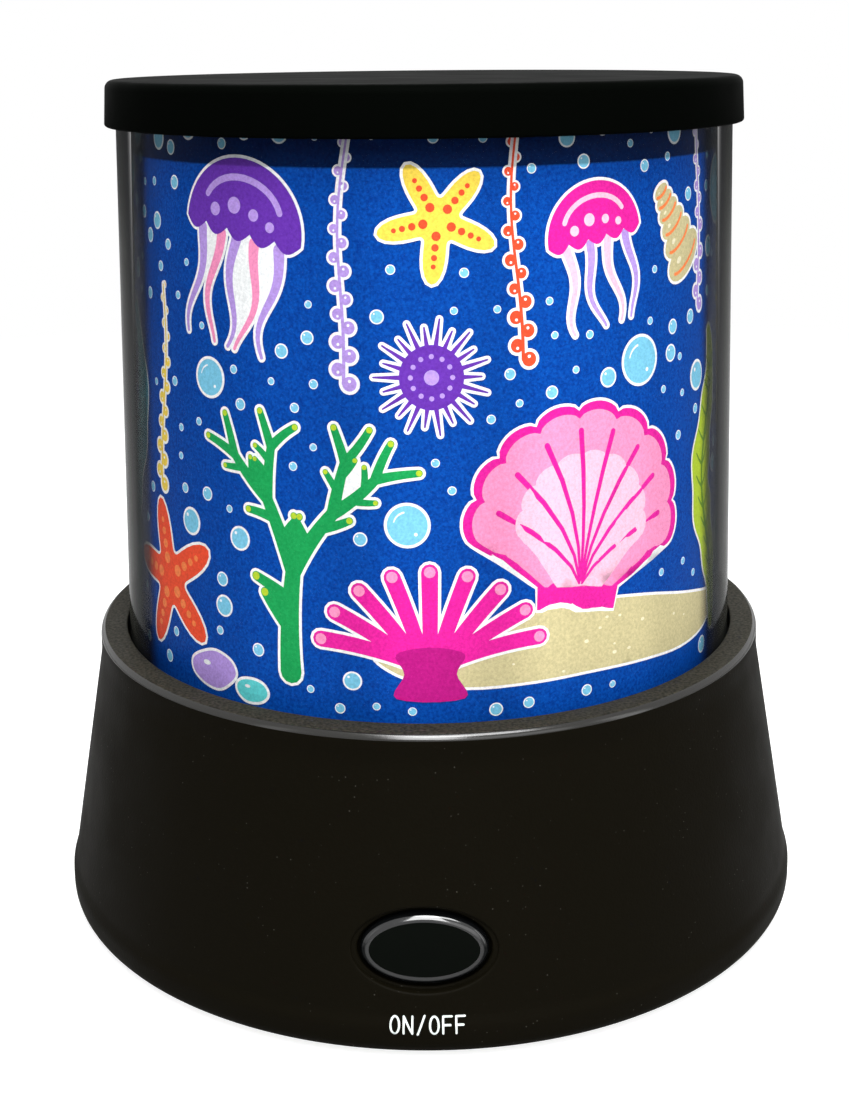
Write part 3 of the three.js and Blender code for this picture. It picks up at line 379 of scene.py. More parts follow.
# Zinc-plated steel: pale blue-grey metal, slightly clouded
zincSteel = plainFinish("zincPlatedSteel", "#b9bec4", 0.32, (0.5, 0.02, 0.4, 2), (1.5, "#9aa0a8", "#c9cdd2"),
                        Metallic=1.0)

# Nickel-plated spring steel: warmer and smoother
nickel = plainFinish("nickelPlatedSteel", "#c9c6bd", 0.22, (0.8, 0.02, 0.3, 2), (2.5, "#b3b0a6", "#d6d3ca"),
                     Metallic=1.0)

# Nitrile rubber: dull dark grey, slightly dusty
nitrileRubber = plainFinish("nitrileRubber", "#1b1b1b", 0.85, (0.3, 0.04, 0.6, 3),
                            (2.5, "#161616", "#262625"), Specular_IOR_Level=0.25)

# Smoked styrene of the dome, and the clear places left in it as stars
smokedStyrene = plainFinish("smokedStyreneDome", "#14161a", 0.14, (5.0, 0.02, 0.3, 1),
                            (12, "#111317", "#191c21"), Specular_IOR_Level=0.45)
clearWindow = plainFinish("clearStyreneStar", "#d4dbe0", 0.2, (1.0, 0.02, 0.3, 1), (2, "#c6ced4", "#e0e6ea"),
                          Transmission_Weight=0.35)

# Shrink sleeves of the cells: dark body and a copper-coloured end
darkSleeve = plainFinish("shrinkSleeveDark", "#20242a", 0.35, (1.5, 0.03, 0.4, 2), (5, "#1c2026", "#262b32"))
copperSleeve = plainFinish("shrinkSleeveCopper", "#b5713c", 0.33, (1.5, 0.03, 0.4, 2),
                           (5, "#a86636", "#c07c46"), Metallic=0.7)

# Phenolic paper board with its flecks, and glass-fibre board under green solder mask
phenolicPaper = plainFinish("phenolicPaper", "#b08a50", 0.55, (0.4, 0.02, 0.4, 3),
                            (0.9, "#a07a44", "#bd975c", "Base Color", 4))
solderMask = plainFinish("greenSolderMask", "#1c6236", 0.3, (0.5, 0.02, 0.35, 2), (1.6, "#18562f", "#22703f"))

# Moulded epoxy of the chip, switch and inlet, and the capacitor's blue sleeve
mouldedEpoxy = plainFinish("mouldedEpoxy", "#1b1b1d", 0.6, (0.25, 0.03, 0.5, 2), (1.2, "#171719", "#212124"))
blueSleeve = plainFinish("capacitorSleeve", "#1f3b7a", 0.35, (0.8, 0.02, 0.4, 2), (2, "#1a3470", "#254487"))

# PVC insulation: soft sheen with rub marks
pvcTints = dict(redPvc=("#b01f1c", "#96191a"), blackPvc=("#1a1a1b", "#131314"),
                greyPvc=("#8f9397", "#7f8387"))
redPvc, blackPvc, greyPvc = (plainFinish(name, colour, 0.45, (0.6, 0.03, 0.4, 2), (2.2, darker, colour))
                             for name, (colour, darker) in pvcTints.items())

# Tinted epoxy of a 5 mm lamp, see-through
lampTints = dict(warm=("#efe6c4", "#f6f0d8"), red=("#c62222", "#d93a34"), green=("#25a04a", "#3db562"),
                 blue=("#2450c0", "#3a68d6"))
lampLens = {name: plainFinish(name + "LampEpoxy", colour, 0.1, (1.5, 0.01, 0.2, 1), (2.5, colour, lighter),
                              Transmission_Weight=0.6, IOR=1.5)
            for name, (colour, lighter) in lampTints.items()}
print("materials made")


# Geometry Nodes helpers

# Points tried on each square metre, before the spacing thins them out
scatterDensity = 4e5


def startTree(name, sizes):
    # Tree with a geometry input, one input for each size, object or material, and a geometry output
    tree = bpy.data.node_groups.new(name, "GeometryNodeTree")
    kinds = {float: "NodeSocketFloat", int: "NodeSocketInt", tuple: "NodeSocketVector"}
    tree.interface.new_socket("Geometry", in_out="INPUT", socket_type="NodeSocketGeometry")
    for title, value in sizes.items():
        kind = value if isinstance(value, str) else kinds[type(value)]
        socket = tree.interface.new_socket(title, in_out="INPUT", socket_type=kind)
        if not isinstance(value, str):
            socket.default_value = value
    tree.interface.new_socket("Geometry", in_out="OUTPUT", socket_type="NodeSocketGeometry")
    return tree, addNode(tree, "NodeGroupInput").outputs, addNode(tree, "NodeGroupOutput")


def runTree(source, tree, **values):
    # The tree's result on the source mesh, as a plain mesh in metres
    carrier = addObject("carrier", source)
    modifier = carrier.modifiers.new("nodes", "NODES")
    modifier.node_group = tree
    for item in tree.interface.items_tree:
        if item.in_out == "INPUT" and item.name in values:
            modifier[item.identifier] = values[item.name]
    bpy.context.view_layer.update()
    graph = bpy.context.evaluated_depsgraph_get()
    result = bpy.data.meshes.new_from_object(carrier.evaluated_get(graph), depsgraph=graph)
    bpy.data.objects.remove(carrier)
    return result


def endTree(tree, result, geometry, ink, keylineInk=None):
    # Real geometry with its material. With a keyline, the faces that are marked 0 take its ink
    inked = addNode(tree, "GeometryNodeRealizeInstances", {"Geometry": geometry})
    chosen = {}
    if keylineInk:
        inked = addNode(tree, "GeometryNodeSetMaterial", {"Geometry": inked, "Material": keylineInk})
        chosen["Selection"] = addNode(tree, "GeometryNodeInputNamedAttribute", {"Name": "ink"},
                                      data_type="INT")
    inked = addNode(tree, "GeometryNodeSetMaterial", {"Geometry": inked, "Material": ink, **chosen})
    tree.links.new(inked.outputs[0], result.inputs[0])
    return tree


# Base housing: flared wall, upright ring, well for the tube, with an oval recess at the front and
# a round hole for the inlet at the back

housing = dict(footRadius=60.0, bandRadius=60.69, bottomZ=1.2, bandTopZ=7.5, blendHeight=2.5, topZ=45.85,
               ringRadius=54.22, lipHeight=4.0, lipBlend=1.2, wall=2.2, lowerRound=2.0, rimRound=1.1,
               wellRadius=49.9, wellRound=0.35, deckTopZ=42.7, deckBottomZ=40.7, ribRadius=47.3, ribWall=1.2,
               ribHeight=4.0, wireHole=4.0, segments=360, wallRows=60)
housing["flare"] = atan2(housing["footRadius"] - housing["ringRadius"],
                         housing["topZ"] - housing["lipHeight"] - housing["bandTopZ"])

button = dict(rise=14.85, halfWidth=8.95, halfHeight=5.1, gap=0.4, recessSide=0.8, recessRise=0.5,
              recessDepth=1.1, lip=0.35, wallDepth=3.6, sink=0.15, crown=0.18, edgeRound=1.25,
              flangeMargin=1.6, flangeDepth=3.6, flangeThickness=1.2, stemRadius=2.2, stemLength=1.8,
              around=96)
inlet = dict(rise=12.8, holeRadius=4.5, lip=0.3, wallDepth=2.2)
inletGuide = dict(x=5.8, depth=6.6, size=(1.6, 8.8, 8.8))

# Stretches of the wall that are made anew round each hole: heights, and columns to each side
patches = dict(front=dict(low=6.6, high=25.4, half=14), back=dict(low=7.6, high=20.6, half=8))

# Where the screws stand, and their posts
coverCircle = dict(radius=46.0, degrees=(45, 135, 225, 315))
domeCircle = dict(radius=43.4, degrees=(90, 210, 330))
lampScrewX = (-10.5, 10.5)
boardScrewX = (-15, 15)
boardScrewY = 4
posts = dict(cover=dict(outer=3.5, bore=1.6, length=35.2, boreDepth=9.0),
             dome=dict(outer=3.0, bore=1.1, length=6.5, boreDepth=5.6),
             lamp=dict(outer=3.0, bore=1.1, length=5.7, boreDepth=3.6),
             board=dict(outer=3.0, bore=1.1, length=8.4, boreDepth=3.6))
postZ = dict(cover=6.5, dome=41.7, lamp=47.4, board=-12.0)


def circleAt(radius, degrees, z):
    return [(radius * cos(radians(a)), radius * sin(radians(a)), z) for a in degrees]


def wallRadius(z):
    # Outside of the housing at a height between its two rounded edges
    h = housing
    if z >= h["bandTopZ"]:
        # The flare eases into the upright lip
        blend = h["lipBlend"]
        short = max(-blend, min(blend, z - h["topZ"] + h["lipHeight"])) + blend
        rise = min(z, h["topZ"] - h["lipHeight"] - blend) + short - short * short / (4 * blend)
        return h["footRadius"] - (rise - h["bandTopZ"]) * tan(h["flare"])
    share = max(0.0, (z - h["bandTopZ"] + h["blendHeight"]) / h["blendHeight"])
    return h["bandRadius"] - (h["bandRadius"] - h["footRadius"]) * share * share * (3 - 2 * share)


def wallFrame(turn, rise):
    # X across, Y up the wall, Z outwards
    z = housing["bottomZ"] + rise
    out = ringPoint(1, turn, 0)
    tilt = housing["flare"]
    outwards = out * cos(tilt) + Vector((0, 0, sin(tilt)))
    upwards = -out * sin(tilt) + Vector((0, 0, cos(tilt)))
    across = upwards.cross(outwards)
    radius = housing["footRadius"] - (z - housing["bandTopZ"]) * tan(tilt)
    matrix = Matrix((across, upwards, outwards)).transposed().to_4x4()
    matrix.translation = out * radius + Vector((0, 0, z))
    return matrix


buttonFrame = wallFrame(0, button["rise"])
inletFrame = wallFrame(pi, inlet["rise"])


def onWall(matrix, x, y):
    # Height of the wall's surface over the place (x, y) of a wall frame, found by repeated correction
    depth, passes = 0.0, 12
    for _ in range(passes):
        point = matrix @ Vector((x, y, depth))
        depth -= hypot(point.x, point.y) - wallRadius(point.z)
    return depth


def pierced(work, rows, columns, rowRange, matrix, halfWidth, halfHeight, lip, floors):
    # Fills the open patch of a wall with rings that run from its border into an oval hole
    lowRow, highRow = rowRange
    border = [rows[lowRow][c] for c in columns]
    border += [rows[r][columns[-1]] for r in range(lowRow + 1, highRow)]
    border += [rows[highRow][c] for c in reversed(columns)]
    border += [rows[r][columns[0]] for r in range(highRow - 1, lowRow, -1)]
    inverse = matrix.inverted()
    flat = [inverse @ v.co for v in border]
    angles = [atan2(p.y / halfHeight, p.x / halfWidth) for p in flat]
    rings = [border]
    wallSteps, crowding, lipSteps = 7, 1.35, 4
    for step in range(1, wallSteps + 1):
        share = 1 - (1 - step / wallSteps) ** crowding
        ring = []
        for p, a in zip(flat, angles):
            x = p.x + ((halfWidth + lip) * cos(a) - p.x) * share
            y = p.y + ((halfHeight + lip) * sin(a) - p.y) * share
            ring.append(work.verts.new(matrix @ Vector((x, y, onWall(matrix, x, y)))))
        rings.append(ring)
    for step in range(1, lipSteps + 1):
        bend = radians(90 * step / lipSteps)
        out, down = lip * (1 - sin(bend)), lip * (1 - cos(bend))
        ring = []
        for a in angles:
            x, y = (halfWidth + out) * cos(a), (halfHeight + out) * sin(a)
            ring.append(work.verts.new(matrix @ Vector((x, y, onWall(matrix, x, y) - down))))
        rings.append(ring)
    for insetWidth, insetHeight, depth in floors:
        rings.append([work.verts.new(matrix @ Vector(((halfWidth - insetWidth) * cos(a),
                                                      (halfHeight - insetHeight) * sin(a), -depth)))
                      for a in angles])
    for outer, inner in zip(rings, rings[1:]):
        for i in range(len(outer)):
            k = (i + 1) % len(outer)
            work.faces.new((outer[i], outer[k], inner[k], inner[i]))
    return rings[-1]


def buildPost(work, matrix, outer, bore, length, boreDepth):
    # Screw post: open end at the matrix's origin, closed end along its +Z
    before = len(work.verts)
    edge, around = 0.25, 40
    lathe(work, [(0, boreDepth), (bore, boreDepth), (bore, edge), (bore + edge, 0), (outer - edge, 0),
                 (outer, edge), (outer, length), (0, length)], around, closed=False)
    moveFrom(work, before, matrix)


def buildHousing(work):
    h, b = housing, button
    rimZ, lowZ = h["topZ"] - h["rimRound"], h["bottomZ"] + h["lowerRound"]
    wallZs = [lowZ + (rimZ - lowZ) * i / h["wallRows"] for i in range(1, h["wallRows"])]
    profile = [(h["footRadius"] - h["wall"], h["bottomZ"])]
    profile += roundFrom(h["bandRadius"] - h["lowerRound"], lowZ, h["lowerRound"], -90, 0, 8)
    firstWall = len(profile)
    profile += [(wallRadius(z), z) for z in wallZs]
    firstRim = len(profile)
    profile += roundFrom(h["ringRadius"] - h["rimRound"], rimZ, h["rimRound"], 0, 90, 8)
    well = h["wellRound"]
    profile += roundFrom(h["wellRadius"] + well, h["topZ"] - well, well, 90, 180, 4)
    rib, ribTopZ = h["ribRadius"], h["deckTopZ"] + h["ribHeight"]
    profile += [(h["wellRadius"], h["deckTopZ"]), (rib, h["deckTopZ"]), (rib, ribTopZ),
                (rib - h["ribWall"], ribTopZ), (rib - h["ribWall"], h["deckTopZ"]),
                (h["wireHole"], h["deckTopZ"]), (h["wireHole"], h["deckBottomZ"]),
                (wallRadius(h["deckBottomZ"]) - h["wall"], h["deckBottomZ"]),
                (h["footRadius"] - h["wall"], h["bandTopZ"])]
    n = h["segments"]
    openings = {}
    for (name, patch), middle in zip(patches.items(), (0, n // 2)):
        inside = [firstWall + i for i, z in enumerate(wallZs) if patch["low"] < z < patch["high"]]
        columns = list(range(middle - patch["half"], middle + patch["half"] + 1))
        openings[name] = columns, (inside[0], inside[-1])

    def skip(i, j):
        signed = i if i < n - patches["front"]["half"] else i - n
        return any(columns[0] <= signed < columns[-1] and low <= j < high
                   for columns, (low, high) in openings.values())

    rubbed = range(firstRim + 1, firstRim + 6)
    rows = lathe(work, profile, n, skip=skip, inkAt=lambda j: 1 if j in rubbed else 0)
    side, rise, deep = b["recessSide"], b["recessRise"], b["recessDepth"]
    ease = 0.2
    pierced(work, rows, *openings["front"], buttonFrame, b["halfWidth"] + b["gap"] + side,
            b["halfHeight"] + b["gap"] + rise, b["lip"],
            [(0, 0, deep), (side - ease, rise - ease, deep), (side, rise, deep + ease),
             (side, rise, b["wallDepth"])])
    pierced(work, rows, *openings["back"], inletFrame, inlet["holeRadius"], inlet["holeRadius"], inlet["lip"],
            [(0, 0, inlet["wallDepth"])])
    flip = Matrix.Rotation(pi, 4, "X")
    stands = [("cover", Matrix.Translation(spot)) for spot in circleAt(**coverCircle, z=postZ["cover"])]
    stands += [("dome", Matrix.Translation(spot) @ flip) for spot in circleAt(**domeCircle, z=postZ["dome"])]
    stands += [("lamp", Matrix.Translation((x, 0, postZ["lamp"])) @ flip) for x in lampScrewX]
    stands += [("board", buttonFrame @ Matrix.Translation((x, boardScrewY, postZ["board"])))
               for x in boardScrewX]
    for name, matrix in stands:
        buildPost(work, matrix, **posts[name])
    for x in (-inletGuide["x"], inletGuide["x"]):
        spot = inletFrame @ Matrix.Translation((x, 0, -inletGuide["depth"]))
        bmesh.ops.create_cube(work, size=1, matrix=spot @ Matrix.Diagonal((*inletGuide["size"], 1)))


newPiece("baseHousing", buildHousing, [blackAbs, rubbedAbs], "base", ["base_housing"], 32)
print("base housing made")


# Button: oval gloss cap with a rounded edge, its flange and stem behind the wall

def buildButton(work):
    b = button
    width, height, inset = b["halfWidth"], b["halfHeight"], b["edgeRound"]
    crown, sink = b["crown"], b["sink"]
    faceSteps, edgeSteps = 8, 8
    rings = []
    for step in range(1, faceSteps + 1):
        share = step / faceSteps
        rings.append((share * (width - inset), share * (height - inset), -sink - crown * share ** 2))
    for step in range(1, edgeSteps + 1):
        bend = radians(90 * step / edgeSteps)
        narrower = inset * (1 - sin(bend))
        rings.append((width - narrower, height - narrower, -sink - crown - inset * (1 - cos(bend))))
    flangeBack = -(b["flangeDepth"] + b["flangeThickness"])
    rings.append((width, height, -b["flangeDepth"]))
    wide = (width + b["flangeMargin"], height + b["flangeMargin"])
    stem = (b["stemRadius"], b["stemRadius"])
    rings += [(*wide, -b["flangeDepth"]), (*wide, flangeBack), (*stem, flangeBack),
              (*stem, flangeBack - b["stemLength"])]
    n = b["around"]
    turns = [tau * i / n for i in range(n)]
    loops = [[work.verts.new(buttonFrame @ Vector((halfWidth * cos(turn), halfHeight * sin(turn), depth)))
              for turn in turns] for halfWidth, halfHeight, depth in rings]
    top = work.verts.new(buttonFrame @ Vector((0, 0, -sink)))
    for i in range(n):
        k = (i + 1) % n
        work.faces.new((top, loops[0][i], loops[0][k]))
        for j, (outer, inner) in enumerate(zip(loops, loops[1:])):
            work.faces.new((outer[i], inner[i], inner[k], outer[k])).material_index = int(j >= faceSteps - 1)
    work.faces.new(list(reversed(loops[-1])))


newPiece("powerButton", buildButton, [capFace, capEdge], "button", ["power_button"], 40)
print("button made")


# Lid: plate with a rounded edge, outer skirt round the tube and a plug inside the film

lid = dict(skirtRadius=49.67, skirtInside=48.27, skirtZ=125.9, underZ=130.8, topZ=132.85, topRadius=49.37,
           plugRadius=44.55, plugWall=1.4, plugZ=122.4, plugEase=0.25, topRound=1.3, lowRound=0.45,
           segments=288)


def buildLid(work):
    d = lid
    low, high = d["lowRound"], d["topRound"]
    outside = roundFrom(d["skirtRadius"] - low, d["skirtZ"] + low, low, -90, 0)
    outside += roundFrom(d["topRadius"] - high, d["topZ"] - high, high, 0, 90, 8)
    outside += [(d["topRadius"] * share, d["topZ"]) for share in (0.9, 0.6, 0.3, 0)]
    plug, bore, ease, foot = d["plugRadius"], d["plugRadius"] - d["plugWall"], d["plugEase"], d["plugZ"]
    inside = [(0, d["underZ"]), (bore, d["underZ"]), (bore, foot + ease), (bore + ease, foot),
              (plug - ease, foot), (plug, foot + ease), (plug, d["underZ"]), (d["skirtInside"], d["underZ"]),
              (d["skirtInside"], d["skirtZ"])]
    lathe(work, inside + outside, d["segments"], closed=False)


newPiece("topLid", buildLid, [satinBlack], "lid", ["top_lid"], 40)
print("lid made")


# Shade: clear tube and the printed sheet rolled inside it

tube = dict(footRadius=49.6, footZ=43.0, topZ=130.5, wall=1.3, draft=1.13, boreDraft=1.8, edgeRound=0.18,
            segments=288)
film = dict(gap=0.3, thickness=0.4, topZ=130.2, seam=2.0, segments=300)


def boreRadius(z):
    return tube["footRadius"] - tube["wall"] - (z - tube["footZ"]) * tan(radians(tube["boreDraft"]))


def tubeRadius(z):
    return tube["footRadius"] - (z - tube["footZ"]) * tan(radians(tube["draft"]))


def filmRadius(z):
    return boreRadius(z) - film["gap"]


def buildTube(work):
    t, r = tube, tube["edgeRound"]
    low, high = t["footZ"], t["topZ"]
    profile = [(boreRadius(low) + r, low), (tubeRadius(low) - r, low), (tubeRadius(low), low + r),
               (tubeRadius(high), high - r), (tubeRadius(high) - r, high), (boreRadius(high) + r, high),
               (boreRadius(high), high - r), (boreRadius(low), low + r)]
    lathe(work, profile, t["segments"])


newPiece("clearTube", buildTube, [clearStyrene], "shade", ["clear_tube"], 40)

# Print on the film: an underwater garden of plain shapes, each with a white keyline. The shapes
# are drawn flat, in millimetres along the sheet and up it, and are wrapped on the film together

# shadeZ, shadeBlur, blueShade and motifShade set the painted shade where the lid's plug stands behind the
# sheet
printLook = dict(unrollRadius=47.0, keyline=0.42, firstLift=0.02, liftStep=0.02, rankStep=0.08,
                 orderStep=0.002, lowMargin=0.6, highMargin=0.5, gridStep=1.7, shadeZ=121.9, shadeBlur=0.15,
                 blueShade=0.14, motifShade=0.55)


def paintedPlugShade(tree, shader, low, high, shade):
    # Mottled ink between two colours, with painted shade where the lid's plug stands behind the sheet,
    # and painted light and shade in soft upright bands where the rolled sheet waves
    place = addNode(tree, "ShaderNodeTexCoord")
    screen = addNode(tree, "ShaderNodeTexNoise", {"Scale": 1 / (0.42 * mm), "Detail": 2.0, "Roughness": 0.65,
                                                  "Vector": place.outputs["Object"]})
    ramp = addNode(tree, "ShaderNodeValToRGB", {"Fac": screen.outputs["Fac"]})
    setRamp(ramp, (0.33, 0.68), (low, high))
    height = addNode(tree, "ShaderNodeSeparateXYZ", {0: place.outputs["Object"]})
    edge, blur = printLook["shadeZ"], printLook["shadeBlur"]
    # Painted shade: the ink darkens above shadeZ, where the lid's plug stands behind the sheet
    tone = addNode(tree, "ShaderNodeMapRange",
                   {"From Min": (edge - blur) * mm, "From Max": (edge + blur) * mm, "To Min": 1.0,
                    "To Max": shade, "Value": height.outputs["Z"]})
    # Painted light and shade in soft upright bands along the rolled sheet
    upright = addNode(tree, "ShaderNodeVectorMath", {1: (1, 1, 0.03), 0: place.outputs["Object"]},
                      operation="MULTIPLY")
    waves = addNode(tree, "ShaderNodeTexNoise", {"Scale": 1 / (15 * mm), "Detail": 1.0, "Vector": upright})
    wave = addNode(tree, "ShaderNodeMapRange", {"From Min": 0.35, "From Max": 0.65, "To Min": 0.82,
                                                "To Max": 1.08, "Value": waves.outputs["Fac"]})
    both = addNode(tree, "ShaderNodeMath", {0: tone, 1: wave}, operation="MULTIPLY")
    shaded = addNode(tree, "ShaderNodeVectorMath", {0: ramp.outputs["Color"], "Scale": both},
                     operation="SCALE")
    tree.links.new(shaded.outputs[0], shader.inputs["Base Color"])


def screenInk(name, colour):
    ink, tree, shader = startMaterial(name, colour, 0.4, Specular_IOR_Level=0.08)
    base = hexColour(colour)[:3]
    paintedPlugShade(tree, shader, [c * 0.86 for c in base] + [1], [min(1, c * 1.1 + 0.004) for c in base] + [1],
              printLook["motifShade"])
    return ink


blueInk, tree, shader = startMaterial("printedBlueFilm", "#0a4aa5", 0.38, Specular_IOR_Level=0.03)
paintedPlugShade(tree, shader, hexColour("#053487"), hexColour("#0a4fab"), printLook["blueShade"])

# Back of the sheet: bare polyester, milky, with the print showing through as a pale cloud
filmBack = plainFinish("milkyFilmBack", "#c9d6e8", 0.5, (1.2, 0.02, 0.3, 2), (9, "#b4c6e2", "#d6dfec"))


def buildFilm(work):
    low, high, thick = tube["footZ"], film["topZ"], film["thickness"]
    steps = 4
    heights = [low + (high - low) * i / steps for i in range(steps + 1)]
    profile = [(filmRadius(z), z) for z in heights]
    profile += [(filmRadius(z) - thick, z) for z in reversed(heights)]
    rows = lathe(work, profile, film["segments"], span=tau - film["seam"] / filmRadius(low),
                 inkAt=lambda j: 0 if j < steps else 1)
    for end in (0, -1):
        edge = [row[end] for row in rows]
        for i in range(steps):
            inner = 2 * steps + 1 - i
            work.faces.new((edge[i], edge[i + 1], edge[inner - 1], edge[inner])).material_index = 1


newPiece("printedFilm", buildFilm, [blueInk, filmBack], "shade", ["printed_film"], 40)
print("shade made")

inkColours = dict(white="#f2f5f6", bubbleBlue="#79c4e2", rosePink="#f592bd", paleRose="#fbbdd4",
                  magenta="#e01f98", deepMagenta="#b3127c", teal="#1b9bb2", deepTeal="#0d6a8a",
                  aqua="#5fd0d2", leafGreen="#179a50", lime="#b2cc30", moss="#648f26", coralRed="#ee4f2e",
                  orange="#f5854a", sand="#c9be90", paleSand="#e6dfc0", violet="#6430a6", lilac="#b394de",
                  sunYellow="#f3d24f")
inks = {name: screenInk("ink" + name[0].upper() + name[1:], colour)
        for name, colour in inkColours.items()}
inkOrder = list(inks)


def ray(reach, turn, tall=1.0):
    return reach * cos(turn), reach * tall * sin(turn)


def disc(x, y, radius, tall=1.0, corners=28):
    around = [ray(radius, tau * i / corners, tall) for i in range(corners)]
    return [(x + across, y + up) for across, up in around]


def smoothLoop(points, steps=5):
    # Closed curve through the points
    loop, n = [], len(points)
    for i in range(n):
        corners = [points[(i + k) % n] for k in (-1, 0, 1, 2)]
        for t in (step / steps for step in range(steps)):
            loop.append(tuple(0.5 * (2 * b + (c - a) * t + (2 * a - 5 * b + 4 * c - d) * t * t
                                     + (3 * b - a - 3 * c + d) * t ** 3) for a, b, c, d in zip(*corners)))
    return loop


def stroke(path, width, endWidth=None, widths=None):
    # Band along a path with round ends
    endWidth = width if endWidth is None else endWidth
    left, right = [], []
    count = len(path)
    for i, (x, y) in enumerate(path):
        ahead, behind = path[min(i + 1, count - 1)], path[max(i - 1, 0)]
        length = hypot(ahead[0] - behind[0], ahead[1] - behind[1]) or 1
        side = ((behind[1] - ahead[1]) / length, (ahead[0] - behind[0]) / length)
        share = i / (count - 1)
        half = (widths(share) if widths else width + (endWidth - width) * share) / 2
        left.append((x + side[0] * half, y + side[1] * half))
        right.append((x - side[0] * half, y - side[1] * half))

    def cap(fromPoint, toPoint):
        cx, cy = (fromPoint[0] + toPoint[0]) / 2, (fromPoint[1] + toPoint[1]) / 2
        radius = hypot(fromPoint[0] - cx, fromPoint[1] - cy)
        first = atan2(fromPoint[1] - cy, fromPoint[0] - cx)
        return [(cx + radius * cos(first - pi * k / 6), cy + radius * sin(first - pi * k / 6))
                for k in range(1, 6)]

    return left + cap(left[-1], right[-1]) + right[::-1] + cap(right[0], left[0])


def wavyPath(height, sway, waves, steps, lean, phase):
    return [(lean * share * height + sway * sin(tau * waves * share + phase) * (0.3 + 0.7 * share),
             height * share) for share in (i / steps for i in range(steps + 1))]


def grown(outline, by):
    # The outline moved outwards, for the keyline under it
    area = sum(a[0] * b[1] - b[0] * a[1] for a, b in zip(outline, outline[1:] + outline[:1]))
    side = 1 if area > 0 else -1
    moved, count = [], len(outline)
    for i, (x, y) in enumerate(outline):
        ahead, behind = outline[(i + 1) % count], outline[i - 1]
        dx, dy = ahead[0] - behind[0], ahead[1] - behind[1]
        length = hypot(dx, dy) or 1
        moved.append((x + side * dy / length * by, y - side * dx / length * by))
    return moved


# Each motif gives (outline, ink, level). Level 1 carries a keyline, higher levels lie on it

def seaStar(size, ink="coralRed", spots="orange"):
    outline = []
    for i in range(90):
        turn = tau * i / 90 + pi / 2
        wave = (0.5 + 0.5 * cos(5 * (turn - pi / 2))) ** 1.5
        outline.append(ray(size * (0.36 + 0.64 * wave), turn))
    shapes = [(outline, ink, 1)]
    for arm in range(5):
        turn = tau * arm / 5 + pi / 2
        for share, dot in ((0.24, 0.075), (0.42, 0.06), (0.58, 0.05), (0.72, 0.04)):
            shapes.append((disc(*ray(size * share, turn), size * dot, 1, 12), spots, 2))
    return shapes


def scallop(size, ink="rosePink", ribs="magenta", edge="paleRose"):
    # Fan with scalloped bands, ribs from its foot and two ears
    lobes = 9

    def fan(reach, depth):
        rim = []
        for i in range(91):
            share = i / 90
            turn = radians(-14 + 208 * share)
            r = reach * (1 - depth + depth * abs(sin(pi * lobes * share)) ** 0.6)
            rim.append((r * cos(turn), r * sin(turn) * 0.94))
        return rim

    foot = [(-size * 0.36, -size * 0.5), (-size * 0.34, -size * 0.68), (size * 0.34, -size * 0.68),
            (size * 0.36, -size * 0.5)]
    shapes = [(fan(size, 0.07) + foot, ribs, 1)]
    shapes.append((fan(size * 0.93, 0.07) + [(-size * 0.3, -size * 0.5), (size * 0.3, -size * 0.5)], ink, 2))
    shapes.append((fan(size * 0.6, 0.06) + [(-size * 0.2, -size * 0.5), (size * 0.2, -size * 0.5)], edge, 3))
    for k in range(1, lobes):
        turn = radians(-14 + 208 * k / lobes)
        path = [(size * r * cos(turn) * (0.2 + 0.8 * r), -size * 0.5 * (1 - r)
                 + size * r * 0.94 * sin(turn)) for r in (0.05, 0.25, 0.45, 0.65, 0.85)]
        shapes.append((stroke(path, size * 0.02, size * 0.045), ribs, 4))
    return shapes


def jelly(size, ink="violet", band="lilac", arms="rosePink", armCount=5):
    shapes = []
    for k in range(armCount):
        x = size * (-0.66 + 1.32 * k / (armCount - 1))
        path = [(x + size * 0.11 * sin(tau * (0.9 * t) + k * 1.7) * (0.4 + t), -size * (0.1 + 1.45 * t))
                for t in (i / 18 for i in range(19))]
        shapes.append((stroke(path, size * 0.17, size * 0.05), arms if k % 2 else band, 1))
    bell = [ray(size, radians(a), 0.95) for a in range(0, 181, 6)]
    hem = [(-size + 2 * size * i / 40, -size * 0.13 * abs(sin(pi * i / 8))) for i in range(1, 40)]
    shapes.append((bell + hem, ink, 2))
    arch = [(size * 0.66 * cos(radians(a)), size * (0.2 + 0.5 * sin(radians(a))))
            for a in range(20, 161, 10)]
    shapes.append((stroke(arch, size * 0.09), band, 3))
    for x, y, r in ((-0.45, 0.2, 0.09), (-0.12, 0.32, 0.11), (0.22, 0.26, 0.08), (0.5, 0.16, 0.07)):
        shapes.append((disc(size * x, size * y, size * r), band, 3))
    return shapes


def branchCoral(size, ink="leafGreen", tip="lime", seed=1):
    draw = random.Random(seed)
    shapes = []

    def grow(x, y, turn, length, width, depth):
        bend = draw.uniform(-0.35, 0.35)
        path = [(x, y)]
        for i in range(1, 8):
            heading = turn + bend * i / 7
            path.append((path[-1][0] + length / 7 * cos(heading), path[-1][1] + length / 7 * sin(heading)))
        shapes.append((stroke(path, width, width * 0.72), ink, 1))
        if depth == 0:
            shapes.append((disc(*path[-1], width * 0.3, 1, 12), tip, 2))
            return
        for side in (-1, 1):
            grow(*path[-1], turn + bend + side * draw.uniform(0.32, 0.6), length * draw.uniform(0.66, 0.82),
                 width * 0.76, depth - 1)
        for side, spot in ((draw.choice((-1, 1)), 3), (draw.choice((-1, 1)), 5)):
            grow(*path[spot], turn + side * draw.uniform(0.7, 0.95), length * 0.42, width * 0.6, 0)

    grow(0, 0, pi / 2, size * 0.34, size * 0.075, 3)
    return shapes


